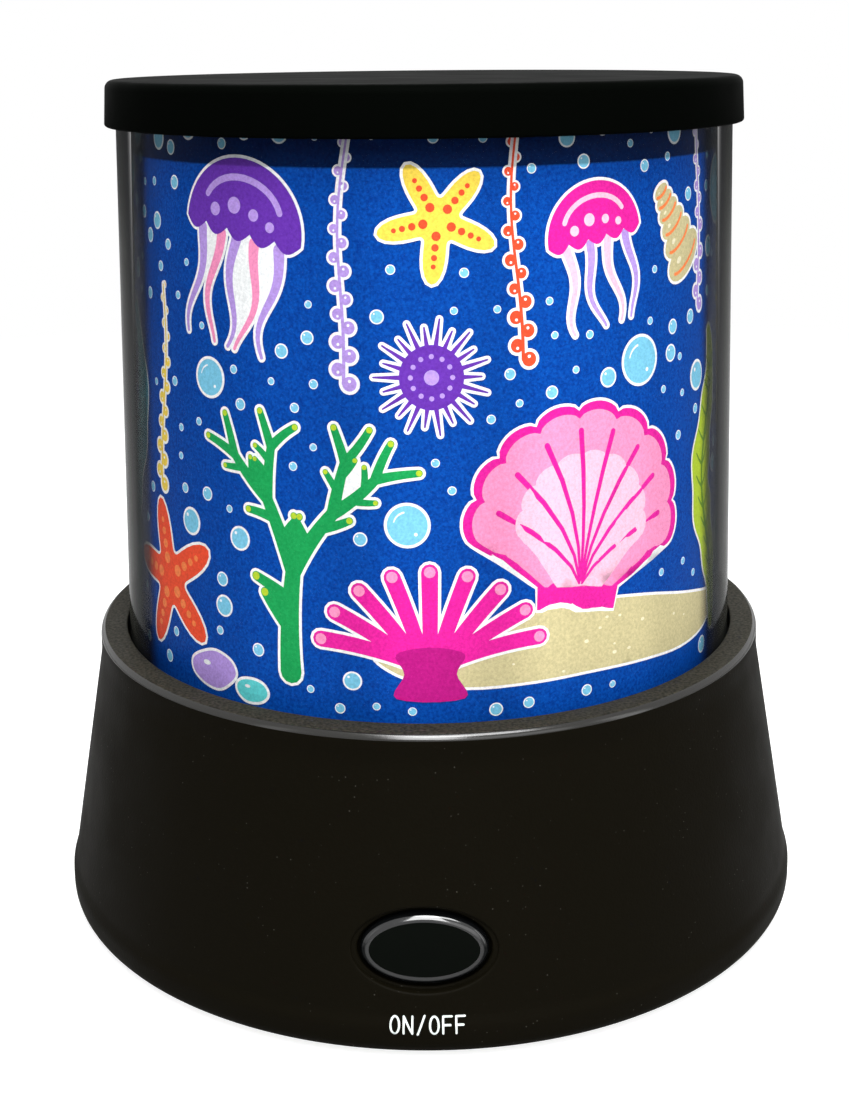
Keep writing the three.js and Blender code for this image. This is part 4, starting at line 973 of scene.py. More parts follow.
def tubeSponge(size, ink="teal", mouth="deepTeal", light="aqua"):
    shapes = []
    for x, height, width, lean in ((-0.3, 0.7, 0.26, -0.22), (0.3, 0.62, 0.25, 0.25), (0.02, 1.0, 0.3, 0.03)):
        path = [(size * (x + lean * t), size * height * t) for t in (i / 10 for i in range(11))]
        shapes.append((stroke(path, size * width * 0.75, size * width), ink, 1))
        shapes.append((disc(size * (x + lean), size * height, size * width * 0.36, 0.62), mouth, 2))
        for t in (0.25, 0.5, 0.72):
            spot = (size * (x + lean * t - 0.05), size * height * t)
            shapes.append((disc(*spot, size * 0.035, 1.5, 12), light, 2))
    return shapes


def kelpBlade(size, ink="lime", vein="moss", phase=0.0):
    path = wavyPath(size, size * 0.08, 1.2, 40, 0.0, phase)
    body = stroke(path, 1, widths=lambda t: size * (0.03 + 0.13 * sin(pi * min(1, t * 0.96 + 0.02)) ** 0.8
                                                    * (1 + 0.14 * sin(t * 34))))
    shapes = [(body, ink, 1), (stroke(path[1:-2], size * 0.022, size * 0.008), vein, 2)]
    for i in range(5, 36, 3):
        x, y = path[i]
        for side in (-1, 1):
            twig = [(x + side * size * out, y + size * up)
                    for out, up in ((0, 0), (0.025, 0.022), (0.045, 0.048))]
            shapes.append((stroke(twig, size * 0.012, size * 0.006), vein, 2))
    return shapes


def turretShell(size, ink="sand", band="orange", light="paleSand"):
    shapes, y = [], 0.0
    for k in range(6):
        width, height = size * 0.3 * 0.8 ** k, size * 0.25 * 0.82 ** k
        shapes.append((disc(0, y + height / 2, width, height * 0.62 / width, 32), ink, 1))
        arch = [(width * 0.8 * cos(radians(a)), y + height * 0.5 + height * 0.3 * sin(radians(a)))
                for a in range(200, 341, 14)]
        shapes.append((stroke(arch, size * 0.028), band, 2))
        shapes.append((disc(-width * 0.35, y + height * 0.62, width * 0.13, 0.7, 12), light, 2))
        y += height * 0.86
    return shapes


def seaUrchin(size, ink="violet", light="lilac"):
    shapes = []
    for k in range(22):
        turn = tau * k / 22
        reach = size * (1.0 if k % 2 else 0.86)
        shapes.append((stroke([ray(size * 0.4, turn), ray(reach, turn)], size * 0.1, size * 0.03), ink, 1))
    shapes.append((disc(0, 0, size * 0.56), ink, 1))
    for k in range(12):
        turn = tau * k / 12
        shapes.append((disc(*ray(size * 0.36, turn), size * 0.045, 1, 10), light, 2))
    shapes.append((disc(0, 0, size * 0.13), light, 2))
    return shapes


def anemone(size, ink="magenta", tips="rosePink", foot="deepMagenta"):
    shapes = []
    for k in range(9):
        share = k / 8
        turn = radians(158 - 136 * share)
        curl = 0.35 * (0.5 - share)
        path = [(size * 0.16 * cos(turn) + size * 0.72 * t * cos(turn + curl * t),
                 size * 0.3 + size * 0.72 * t * sin(turn + curl * t)) for t in (i / 8 for i in range(9))]
        shapes.append((stroke(path, size * 0.11, size * 0.13), ink, 1))
        shapes.append((disc(*path[-1], size * 0.045, 1, 12), tips, 2))
    rim = [(-0.26, 0), (-0.2, 0.2), (-0.26, 0.36), (0, 0.42), (0.26, 0.36), (0.2, 0.2), (0.26, 0)]
    shapes.append((smoothLoop([(x * size, y * size) for x, y in rim]), foot, 2))
    return shapes


def sandBank(size, tall=0.16, seed=3):
    draw = random.Random(seed)
    rim = [(size * cos(a), size * tall * sin(a) * (1 + 0.25 * sin(a * 3 + seed)))
           for a in (tau * i / 20 for i in range(20))]
    shapes = [(smoothLoop(rim, 4), "sand", 1)]
    for _ in range(14):
        a, r = draw.uniform(0, tau), draw.uniform(0.1, 0.72)
        shapes.append((disc(size * r * cos(a), size * tall * r * sin(a), draw.uniform(0.2, 0.42), 0.7, 10),
                       "paleSand", 2))
    return shapes


def pebble(size, ink="lilac", seed=5):
    draw = random.Random(seed)
    rim = [(size * draw.uniform(0.88, 1.1) * cos(a), size * 0.62 * draw.uniform(0.9, 1.08) * sin(a))
           for a in (tau * i / 9 for i in range(9))]
    return [(smoothLoop(rim), ink, 1), (disc(-size * 0.3, size * 0.2, size * 0.18, 0.5, 12), "white", 2)]


def bigBubble(size):
    arc = [ray(size * 0.68, radians(a)) for a in range(105, 166, 10)]
    return [(disc(0, 0, size, 1, 40), "bubbleBlue", 1), (stroke(arc, size * 0.1, size * 0.06), "white", 2),
            (disc(size * 0.42, -size * 0.45, size * 0.09, 1, 12), "white", 2)]


# (motif, place along the sheet, height, turn in degrees, rank in front of the others, its own settings)
printLayout = [
    (sandBank, 25, 54, -2, 0, dict(size=32, seed=3)),
    (scallop, 24, 72, -8, 1, dict(size=18.5)),
    (branchCoral, -19, 51, 4, 1, dict(size=44, seed=4)),
    (seaStar, -44, 60, 14, 1, dict(size=12)),
    (jelly, -27, 113, -10, 1, dict(size=10.5)),
    (kelpBlade, 55, 49, 3, 1, dict(size=46, phase=1.0)),
    (tubeSponge, 73, 48, 0, 1, dict(size=21)),
    (anemone, 1, 48.5, 0, 1, dict(size=18)),
    (turretShell, 46.5, 106, 34, 1, dict(size=17)),
    (seaUrchin, 1.5, 94, 0, 1, dict(size=8)),
    (jelly, 26, 112, 10, 1, dict(size=8, ink="magenta", band="paleRose", arms="lilac", armCount=4)),
    (kelpBlade, -61, 49, -4, 1, dict(size=50, ink="teal", vein="aqua", phase=2.4)),
    (seaStar, 2.5, 115, 30, 1, dict(size=8.5, ink="sunYellow", spots="coralRed")),
    (bigBubble, -2, 73.5, 0, 1, dict(size=2.8)),
    (bigBubble, -33, 92, 0, 1, dict(size=2.6)),
    (bigBubble, 34, 94, 0, 1, dict(size=3.3)),
    (bigBubble, 62, 116, 0, 1, dict(size=5)),
    (pebble, -33, 48.5, 4, 1, dict(size=4.4)),
    (pebble, -25.5, 47, 0, 1, dict(size=2.8, ink="aqua", seed=8)),
    (sandBank, -92, 51, 2, 0, dict(size=26, seed=7)),
    (anemone, -84, 54, 4, 1, dict(size=17, ink="coralRed", tips="orange", foot="magenta")),
    (branchCoral, -104, 53, -6, 1, dict(size=36, ink="coralRed", tip="orange", seed=11)),
    (scallop, -98, 108, 20, 1, dict(size=9, ink="aqua", ribs="teal", edge="bubbleBlue")),
    (jelly, -75, 110, 8, 1, dict(size=10.5, ink="teal", band="aqua", arms="lilac")),
    (seaUrchin, -121, 84, 0, 1, dict(size=7.5, ink="magenta", light="paleRose")),
    (kelpBlade, -131, 49, 3, 1, dict(size=60, ink="leafGreen", vein="lime", phase=0.4)),
    (turretShell, -71, 62, -32, 1, dict(size=13, ink="paleSand", band="magenta", light="rosePink")),
    (seaStar, -141, 114, 8, 1, dict(size=7.5)),
    (tubeSponge, 92, 49, 4, 1, dict(size=19, ink="violet", mouth="deepMagenta", light="lilac")),
    (seaStar, 84, 98, -12, 1, dict(size=9, ink="orange", spots="sunYellow")),
    (branchCoral, 107, 50, -4, 1, dict(size=36, ink="rosePink", tip="paleRose", seed=4)),
    (scallop, 131, 63, 6, 1, dict(size=11, ink="coralRed", ribs="magenta", edge="orange")),
    (jelly, 112, 113, -6, 1, dict(size=8.2)),
    (sandBank, 128, 50.5, 0, 0, dict(size=17, seed=9, tall=0.2)),
    (kelpBlade, 142, 76, 6, 1, dict(size=44, ink="lime", vein="moss", phase=1.8)),
    (bigBubble, 97, 123, 0, 1, dict(size=3.8)),
    (bigBubble, -118, 118, 0, 1, dict(size=4.4)),
]

# Beaded strings: (place along the sheet, foot height, length, lean) for each colour
stringLayout = dict(
    lilac=[(-11, 93, 36, 0.02), (50, 100, 29, 0.02), (-112, 58, 30, 0.05), (97, 80, 40, 0.04)],
    sunYellow=[(-46, 74, 30, 0.05), (64, 80, 34, 0.05), (118, 78, 30, -0.04)],
    coralRed=[(14, 96, 33, -0.03), (80, 76, 30, 0.03), (-70, 84, 24, -0.05), (-90, 74, 26, -0.05)])
stringLook = dict(stem=0.5, tipShare=0.6, swayShare=0.03, waves=0.9, steps=24, topMargin=0.8,
                  keylineLift=0.05, inkLift=0.07, bead=0.95, reach=0.8, spacing=1.85, seed=3)
bubbleSheet = dict(half=144, low=46.5, high=127)
bubblePasses = [dict(Spacing=8.5 * mm, Least=1.3 * mm, Most=3.1 * mm, Gap=1.0 * mm, Seed=5),
                dict(Spacing=4.2 * mm, Least=0.55 * mm, Most=1.15 * mm, Gap=0.9 * mm, Seed=12)]


def turned(outline, along, up, degrees):
    c, s = cos(radians(degrees)), sin(radians(degrees))
    return [(along + x * c - y * s, up + x * s + y * c) for x, y in outline]


def insideAny(x, y, outlines):
    for outline in outlines:
        inside, j = False, len(outline) - 1
        for i, (xi, yi) in enumerate(outline):
            xj, yj = outline[j]
            if (yi > y) != (yj > y) and x < (xj - xi) * (y - yi) / (yj - yi) + xi:
                inside = not inside
            j = i
        if inside:
            return True
    return False


def fillFlat(work, outlines, lift, ink):
    # Triangles of the joined outlines, with inner points so that they can be bent
    step = printLook["gridStep"]
    points, loops = [], []
    for outline in outlines:
        loops.append(list(range(len(points), len(points) + len(outline))))
        points += outline
    xs, ys = [p[0] for p in points], [p[1] for p in points]
    x = min(xs) + step / 2
    while x < max(xs):
        y = min(ys) + step / 2
        while y < max(ys):
            if insideAny(x, y, outlines):
                points.append((x, y))
            y += step
        x += step
    verts, _, triangles, *_ = delaunay_2d_cdt([Vector(p) for p in points], [], loops, 1, 1e-4)
    corners = [work.verts.new((v.x, v.y, lift)) for v in verts]
    for triangle in triangles:
        a, b, c = (verts[i] for i in triangle)
        flipped = (b - a).cross(c - a) < 0
        face = work.faces.new([corners[i] for i in (reversed(triangle) if flipped else triangle)])
        face.material_index = ink


def buildMotifs(work):
    look = printLook
    lowest, highest = tube["footZ"] + look["lowMargin"], film["topZ"] - look["highMargin"]
    for motif, along, up, degrees, rank, settings in printLayout:
        layers = {}
        for outline, ink, level in motif(**settings):
            placed = turned(outline, along, up, degrees)
            placed = [(x, min(max(y, lowest), highest)) for x, y in placed]
            if level == 1 or motif is jelly and level == 2:
                layers.setdefault((0, "white"), []).append(grown(placed, look["keyline"]))
            layers.setdefault((level, ink), []).append(placed)
        for order, ((level, ink), outlines) in enumerate(sorted(layers.items())):
            lift = look["firstLift"] + look["rankStep"] * rank + look["liftStep"] * level
            fillFlat(work, outlines, lift + look["orderStep"] * order, inkOrder.index(ink))


def addInkDisc(tree, whole, corners, radius, place, ink):
    # Flat disc of a bead or bubble, marked 1 for its ink and 0 for the keyline's
    flat = addNode(tree, "GeometryNodeMeshCircle", {"Vertices": corners, "Radius": radius},
                   fill_type="TRIANGLE_FAN")
    put = addNode(tree, "GeometryNodeTransform", {"Geometry": flat, "Translation": place})
    marked = addNode(tree, "GeometryNodeStoreNamedAttribute", {"Name": "ink", "Value": ink, "Geometry": put},
                     data_type="INT", domain="FACE")
    tree.links.new(marked.outputs[0], whole.inputs[0])


def makeBeadTree():
    # Beads on alternate sides of each string, smaller towards its tip, each on a keyline of its own
    sizes = dict(Spacing=1.9 * mm, Bead=1.0 * mm, Keyline=0.42 * mm, Reach=0.85 * mm, Seed=3)
    tree, given, result = startTree("beadedString", dict(sizes, Ink="NodeSocketMaterial",
                                                         KeylineInk="NodeSocketMaterial"))
    curve = addNode(tree, "GeometryNodeMeshToCurve", {"Mesh": given["Geometry"]})
    steps = addNode(tree, "GeometryNodeResampleCurve", {"Curve": curve, "Length": given["Spacing"]},
                    mode="LENGTH")
    wide = addNode(tree, "ShaderNodeMath", {0: given["Bead"], 1: given["Keyline"]}, operation="ADD")
    small = addNode(tree, "ShaderNodeMath", {1: 0.22, 0: given["Bead"]}, operation="MULTIPLY")
    bead = addNode(tree, "GeometryNodeJoinGeometry")
    # Keyline, bead and highlight: radius, mark, and in millimetres the lift off the sheet and the shift
    for radius, ink, lift, shift in ((wide, 0, 0.06, 0), (given["Bead"], 1, 0.08, 0), (small, 0, 0.1, 0.35)):
        spot = addNode(tree, "ShaderNodeCombineXYZ", {"X": given["Reach"], "Y": shift * mm, "Z": lift * mm})
        addInkDisc(tree, bead, 20, radius, spot, ink)
    tangent = addNode(tree, "GeometryNodeInputTangent")
    facing = addNode(tree, "FunctionNodeAlignRotationToVector", {"Vector": tangent}, axis="Y", pivot_axis="Z")
    count = addNode(tree, "GeometryNodeInputIndex")
    odd = addNode(tree, "ShaderNodeMath", {1: 2.0, 0: count}, operation="MODULO")
    halfTurn = addNode(tree, "ShaderNodeMath", {1: pi, 0: odd}, operation="MULTIPLY")
    aboutAxis = addNode(tree, "ShaderNodeCombineXYZ", {"Z": halfTurn})
    swap = addNode(tree, "FunctionNodeEulerToRotation", {0: aboutAxis})
    sided = addNode(tree, "FunctionNodeRotateRotation", {"Rotation": facing, "Rotate By": swap},
                    rotation_space="LOCAL")
    along = addNode(tree, "GeometryNodeSplineParameter")
    jitter = addNode(tree, "FunctionNodeRandomValue", {2: 0.9, 3: 1.1, "Seed": given["Seed"]},
                     data_type="FLOAT")
    taper = addNode(tree, "ShaderNodeMapRange",
                    {"To Min": 1.0, "To Max": 0.5, "Value": along.outputs["Factor"]})
    size = addNode(tree, "ShaderNodeMath", {0: taper, 1: jitter.outputs[1]}, operation="MULTIPLY")
    beads = addNode(tree, "GeometryNodeInstanceOnPoints",
                    {"Points": steps, "Instance": bead, "Rotation": sided, "Scale": size})
    return endTree(tree, result, beads, given["Ink"], given["KeylineInk"])


def makeBubbleTree():
    # Bubbles scattered over the sheet, each kept clear of the motifs and small where room is short
    sizes = dict(Spacing=8.5 * mm, Least=1.3 * mm, Most=3.1 * mm, Gap=1.0 * mm, Seed=5)
    tree, given, result = startTree("bubblesOnSheet", dict(sizes, Motifs="NodeSocketObject",
                                                           Ink="NodeSocketMaterial",
                                                           KeylineInk="NodeSocketMaterial"))
    spots = addNode(tree, "GeometryNodeDistributePointsOnFaces",
                    {"Mesh": given["Geometry"], "Distance Min": given["Spacing"],
                     "Density Max": scatterDensity, "Seed": given["Seed"]}, distribute_method="POISSON")
    other = addNode(tree, "GeometryNodeObjectInfo", {"Object": given["Motifs"]})
    here = addNode(tree, "GeometryNodeInputPosition")
    near = addNode(tree, "GeometryNodeProximity", {0: other.outputs["Geometry"], "Sample Position": here},
                   target_element="FACES")
    chance = addNode(tree, "FunctionNodeRandomValue", {2: 0.0, 3: 1.0, "Seed": given["Seed"]},
                     data_type="FLOAT")
    rare = addNode(tree, "ShaderNodeMath", {1: 1.8, 0: chance.outputs[1]}, operation="POWER")
    wish = addNode(tree, "ShaderNodeMapRange",
                   {"Value": rare, "To Min": given["Least"], "To Max": given["Most"]})
    room = addNode(tree, "ShaderNodeMath", {0: near.outputs["Distance"], 1: given["Gap"]},
                   operation="SUBTRACT")
    radius = addNode(tree, "ShaderNodeMath", {0: wish, 1: room}, operation="MINIMUM")
    tooSmall = addNode(tree, "FunctionNodeCompare", {0: radius, 1: given["Least"]}, data_type="FLOAT",
                       operation="LESS_THAN")
    sized = addNode(tree, "GeometryNodeStoreNamedAttribute",
                    {"Name": "bubbleRadius", "Geometry": spots.outputs["Points"], "Value": radius},
                    data_type="FLOAT", domain="POINT")
    kept = addNode(tree, "GeometryNodeDeleteGeometry", {"Geometry": sized, "Selection": tooSmall},
                   domain="POINT")
    bubble = addNode(tree, "GeometryNodeJoinGeometry")
    # Keyline, bubble and highlight, for a bubble of radius 1: radius, place and mark
    for share, spot, ink in ((1.0, (0, 0, 0.02), 0), (0.82, (0, 0, 0.04), 1), (0.13, (-0.38, 0.4, 0.06), 0)):
        addInkDisc(tree, bubble, 26, share, spot, ink)
    size = addNode(tree, "GeometryNodeInputNamedAttribute", {"Name": "bubbleRadius"}, data_type="FLOAT")
    placed = addNode(tree, "GeometryNodeInstanceOnPoints",
                     {"Points": kept, "Instance": bubble, "Scale": size})
    return endTree(tree, result, placed, given["Ink"], given["KeylineInk"])


def makeWrapTree():
    # Bends the flat print, x along the sheet, y up it and z off it, round the cone of the film
    sizes = dict(UnrollRadius=47.0 * mm, FootRadius=48.0 * mm, FootHeight=43.0 * mm, Taper=0.0314)
    tree, given, result = startTree("wrapOnFilm", dict(sizes, Ink="NodeSocketMaterial"))
    here = addNode(tree, "GeometryNodeInputPosition")
    flat = addNode(tree, "ShaderNodeSeparateXYZ", {0: here})
    turn = addNode(tree, "ShaderNodeMath", {0: flat.outputs["X"], 1: given["UnrollRadius"]},
                   operation="DIVIDE")
    rise = addNode(tree, "ShaderNodeMath", {0: flat.outputs["Y"], 1: given["FootHeight"]},
                   operation="SUBTRACT")
    narrowed = addNode(tree, "ShaderNodeMath", {0: rise, 1: given["Taper"]}, operation="MULTIPLY")
    radius = addNode(tree, "ShaderNodeMath", {0: given["FootRadius"], 1: narrowed}, operation="SUBTRACT")
    lifted = addNode(tree, "ShaderNodeMath", {0: radius, 1: flat.outputs["Z"]}, operation="ADD")
    sine = addNode(tree, "ShaderNodeMath", {0: turn}, operation="SINE")
    cosine = addNode(tree, "ShaderNodeMath", {0: turn}, operation="COSINE")
    across = addNode(tree, "ShaderNodeMath", {0: lifted, 1: sine}, operation="MULTIPLY")
    ahead = addNode(tree, "ShaderNodeMath", {0: lifted, 1: cosine}, operation="MULTIPLY")
    back = addNode(tree, "ShaderNodeMath", {1: -1.0, 0: ahead}, operation="MULTIPLY")
    spot = addNode(tree, "ShaderNodeCombineXYZ", {"X": across, "Y": back, "Z": flat.outputs["Y"]})
    bent = addNode(tree, "GeometryNodeSetPosition", {"Geometry": given["Geometry"], "Position": spot})
    return endTree(tree, result, bent, given["Ink"])


def addFlat(work, mesh):
    # Joins a flat mesh made by a tree to the print, with its inks in the print's own order
    known = list(inks.values())
    order = [known.index(material) if material else 0 for material in mesh.materials]
    before = len(work.faces)
    work.from_mesh(mesh)
    work.faces.ensure_lookup_table()
    for face in work.faces[before:]:
        face.material_index = order[face.material_index]


def drawStrings(flat):
    # Stems of the beaded strings. Their paths are given back for each ink
    look = stringLook
    stems = {}
    for ink, strings in stringLayout.items():
        paths = []
        for along, up, length, lean in strings:
            top = min(length, film["topZ"] - look["topMargin"] - up)
            path = wavyPath(top, length * look["swayShare"], look["waves"], look["steps"], lean, along)
            paths.append([(along + x, up + y) for x, y in path])
        bands = [stroke(path, look["stem"], look["stem"] * look["tipShare"]) for path in paths]
        fillFlat(flat, [grown(band, printLook["keyline"]) for band in bands], look["keylineLift"],
                 inkOrder.index("white"))
        fillFlat(flat, bands, look["inkLift"], inkOrder.index(ink))
        stems[ink] = paths
    return stems


def makePrint():
    flat = bmesh.new()
    buildMotifs(flat)
    stems = drawStrings(flat)
    bmesh.ops.scale(flat, vec=(mm, mm, mm), verts=flat.verts)
    beadTree, bubbleTree, wrapTree = makeBeadTree(), makeBubbleTree(), makeWrapTree()
    for ink, paths in stems.items():
        lines = bpy.data.meshes.new("stems")
        points, edges = [], []
        for path in paths:
            edges += [(len(points) + i, len(points) + i + 1) for i in range(len(path) - 1)]
            points += [(x * mm, y * mm, 0) for x, y in path]
        lines.from_pydata(points, edges, [])
        beads = runTree(lines, beadTree, Spacing=stringLook["spacing"] * mm, Bead=stringLook["bead"] * mm,
                        Keyline=printLook["keyline"] * mm, Reach=stringLook["reach"] * mm,
                        Seed=stringLook["seed"], Ink=inks[ink], KeylineInk=inks["white"])
        addFlat(flat, beads)
    sheet = flatRectangle("sheet", **{side: size * mm for side, size in bubbleSheet.items()})
    for settings in bubblePasses:
        target = addObject("motifsSoFar", meshFrom("motifsSoFar", flat.copy()))
        addFlat(flat, runTree(sheet, bubbleTree, Motifs=target, Ink=inks["bubbleBlue"],
                              KeylineInk=inks["white"], **settings))
        bpy.data.objects.remove(target)
    whole = bmesh.new()
    for index, ink in enumerate(inks.values()):
        layer = flat.copy()
        bmesh.ops.delete(layer, geom=[f for f in layer.faces if f.material_index != index], context="FACES")
        wrapped = runTree(meshFrom("flatLayer", layer), wrapTree, Ink=ink,
                          UnrollRadius=printLook["unrollRadius"] * mm,
                          FootRadius=filmRadius(tube["footZ"]) * mm, FootHeight=tube["footZ"] * mm,
                          Taper=tan(radians(tube["boreDraft"])))
        addFlat(whole, wrapped)
    flat.free()
    return pieceFromMesh("filmPrint", meshFrom("wrappedPrint", whole), list(inks.values()), "shade",
                         smoothUnder=60)


filmPrint = makePrint()
print("print of", len(printLayout), "motifs made,", len(filmPrint.data.polygons), "faces")


# Lettering under the button, plain strokes laid on the wall

lettering = dict(middleZ=5.85, shiftX=0.4, height=2.25, letterWidth=1.2, gap=0.62, line=0.29, lift=0.02)
whitePrint = plainFinish("padPrintWhite", "#dfe6e4", 0.5, (0.3, 0.02, 0.4, 2), (0.6, "#cfd8d6", "#eef2f0"))


def letterPaths(letter):
    # In shares of the letter's width and height
    if letter == "O":
        return [[(0.5 + 0.5 * sin(tau * i / 28), 0.5 + 0.5 * cos(tau * i / 28))
                 for i in range(29)]]
    if letter == "N":
        return [[(0, 0), (0, 0.5), (0, 1), (0.5, 0.5), (1, 0), (1, 0.5), (1, 1)]]
    if letter == "F":
        return [[(1, 1), (0.5, 1), (0, 1), (0, 0.5), (0, 0)], [(0, 0.52), (0.4, 0.52), (0.82, 0.52)]]
    return [[(0.1, -0.05), (0.5, 0.5), (0.9, 1.05)]]


def buildLettering(work):
    look = lettering
    word = "ON/OFF"
    pitch = look["letterWidth"] + look["gap"]
    start = look["shiftX"] - (pitch * len(word) - look["gap"]) / 2
    middleRadius = wallRadius(look["middleZ"])
    for index, letter in enumerate(word):
        for path in letterPaths(letter):
            fine = []
            for a, b in zip(path, path[1:]):
                fine += [(a[0] + (b[0] - a[0]) * i / 4, a[1] + (b[1] - a[1]) * i / 4) for i in range(4)]
            fine.append(path[-1])
            placed = [(start + index * pitch + x * look["letterWidth"],
                       look["middleZ"] + (y - 0.5) * look["height"]) for x, y in fine]
            for piece in zip(placed, placed[1:]):
                work.faces.new([work.verts.new(ringPoint(wallRadius(z) + look["lift"], x / middleRadius, z))
                                for x, z in stroke(list(piece), look["line"])])
    bmesh.ops.triangulate(work, faces=work.faces)
    work.normal_update()
    for face in work.faces:
        middle = face.calc_center_median()
        if face.normal.x * middle.x + face.normal.y * middle.y < 0:
            face.normal_flip()


newPiece("buttonLettering", buildLettering, [whitePrint], "base", smoothUnder=60, closed=False)
print("lettering made")


# Pieces that repeat are set on points by one tree

def makeRepeatTree():
    sizes = dict(Turn=(0.0, 0.0, 0.0), Spin=0.0, Seed=2)
    tree, given, result = startTree("repeatOnPoints", dict(sizes, Piece="NodeSocketObject",
                                                           Finish="NodeSocketMaterial"))
    one = addNode(tree, "GeometryNodeObjectInfo", {"Object": given["Piece"]})
    chance = addNode(tree, "FunctionNodeRandomValue", {2: 0.0, 3: given["Spin"], "Seed": given["Seed"]},
                     data_type="FLOAT")
    aboutAxis = addNode(tree, "ShaderNodeCombineXYZ", {"Z": chance.outputs[1]})
    spin = addNode(tree, "FunctionNodeEulerToRotation", {0: aboutAxis})
    turn = addNode(tree, "FunctionNodeEulerToRotation", {0: given["Turn"]})
    both = addNode(tree, "FunctionNodeRotateRotation", {"Rotation": turn, "Rotate By": spin},
                   rotation_space="LOCAL")
    placed = addNode(tree, "GeometryNodeInstanceOnPoints",
                     {"Points": given["Geometry"], "Instance": one.outputs["Geometry"], "Rotation": both})
    return endTree(tree, result, placed, given["Finish"])


repeatTree = makeRepeatTree()


def repeated(name, build, places, material, body, nodes, turn=(0.0, 0.0, 0.0), spin=0.0, seed=2):
    template = addObject("template", meshOf("template", build))
    points = bpy.data.meshes.new("points")
    points.from_pydata([tuple(Vector(place) * mm) for place in places], [], [])
    mesh = runTree(points, repeatTree, Piece=template, Turn=turn, Spin=spin, Seed=seed, Finish=material)
    bpy.data.objects.remove(template)
    return pieceFromMesh(name, mesh, [material], body, nodes, 32)


def numbered(stem, count):
    return [f"{stem}_{i}" for i in range(1, count + 1)]


# Screws: cross-recessed head downwards at the origin, threaded shank along +Z

baseScrew = dict(headRadius=2.8, headHeight=1.7, shankRadius=1.3, shankLength=11, pitch=0.9)
doorScrew = dict(baseScrew, shankLength=7)
smallScrew = dict(headRadius=1.9, headHeight=1.3, shankRadius=0.8, shankLength=5.5, pitch=0.6)
screwZ = dict(cover=2.2, dome=47.9, lamp=50.9, board=-15.5)
doorScrewX = 36.2

# The heads stand turned at random by up to this many radians
screwSpin = 1.5


def screwBuilder(size):
    def build(work):
        around = 64
        head, neck, shank, pitch = size["headRadius"], size["headHeight"], size["shankRadius"], size["pitch"]
        arm, slot, deep = head * 0.6, head * 0.16, neck * 0.55

        def crossReach(angle):
            a = (angle + pi / 4) % (pi / 2) - pi / 4
            return min(arm / cos(a), slot / max(abs(sin(a)), 1e-6), slot * 1.55 / cos(pi / 4 - abs(a)))

        def ring(reach, z):
            return [work.verts.new((reach(turn) * cos(turn), reach(turn) * sin(turn), z))
                    for turn in (tau * i / around for i in range(around))]

        rings = [ring(lambda a: crossReach(a) * 0.45, deep), ring(lambda a: crossReach(a) * 0.8, deep * 0.9),
                 ring(crossReach, 0.02)]
        tip = neck + size["shankLength"] - 0.3
        root = shank * 0.74
        profile = [(head * 0.66, 0.0), (head * 0.82, neck * 0.07), (head * 0.94, neck * 0.25),
                   (head, neck * 0.5), (head, neck * 0.97), (head * 0.98, neck), (root, neck)]
        z = neck + pitch * 0.7
        while z + pitch < tip - shank:
            profile += [(root, z - pitch * 0.3), (shank, z), (root, z + pitch * 0.3)]
            z += pitch
        profile += [(root, tip - shank), (root * 0.4, tip - 0.2)]
        rings += [ring(lambda a, r=radius: r, z) for radius, z in profile]
        for low, high in zip(rings, rings[1:]):
            for i in range(around):
                k = (i + 1) % around
                work.faces.new((low[i], low[k], high[k], high[i]))
        for end, z in ((rings[0], deep), (rings[-1], tip)):
            middle = work.verts.new((0, 0, z))
            for i in range(around):
                work.faces.new((end[i], end[(i + 1) % around], middle))
    return build


headUp = (pi, 0.0, 0.0)
boardSpots = [buttonFrame @ Vector((x, boardScrewY, screwZ["board"])) for x in boardScrewX]
for name, size, places, body, nodes, turn, seed in (
        ("baseScrews", baseScrew, circleAt(**coverCircle, z=screwZ["cover"]), "base",
         numbered("base_screw", 4), (0.0, 0.0, 0.0), 4),
        ("doorScrewPiece", doorScrew, [(doorScrewX, 0, screwZ["cover"])], "door",
         ["battery_door_screw"], (0.0, 0.0, 0.0), 6),
        ("domeScrews", smallScrew, circleAt(**domeCircle, z=screwZ["dome"]), "base",
         numbered("dome_screw", 3), headUp, 7),
        ("lampScrews", smallScrew, [(x, 0, screwZ["lamp"]) for x in lampScrewX], "base",
         numbered("lamp_screw", 2), headUp, 8),
        ("boardScrews", smallScrew, boardSpots, "base",
         numbered("board_screw", 2), tuple(buttonFrame.to_euler()), 9)):
    repeated(name, screwBuilder(size), places, zincSteel, body, nodes, turn, screwSpin, seed)
print("screws made")


# Feet: rubber discs with a rounded edge and a ring moulded in the tread

foot = dict(radius=5.0, high=1.6, edge=0.35, ringIn=2.6, ringOut=2.75, ringDepth=0.12, circle=50.0,
            segments=56)


def buildFoot(work):
    f = foot
    inner, high = f["radius"] - f["edge"], f["high"]
    profile = [(0, f["ringDepth"]), (f["ringIn"], f["ringDepth"]), (f["ringOut"], 0), (inner, 0)]
    profile += roundFrom(inner, f["edge"], f["edge"], -90, 0, 4)[1:]
    profile += roundFrom(inner, high - f["edge"], f["edge"], 0, 90, 4)
    lathe(work, profile + [(0, high)], f["segments"], closed=False)


repeated("rubberFeet", buildFoot, circleAt(foot["circle"], (0, 90, 180, 270), 0), nitrileRubber, "base",
         numbered("rubber_foot", 4))


# Cells: shrink sleeve with a copper-coloured end, steel cap and nub; they lie side by side in turn

cell = dict(length=50.5, rows=(-15.2, 0.0, 15.2), z=10.9, endX=26.9, contactX=28.0, segments=64)


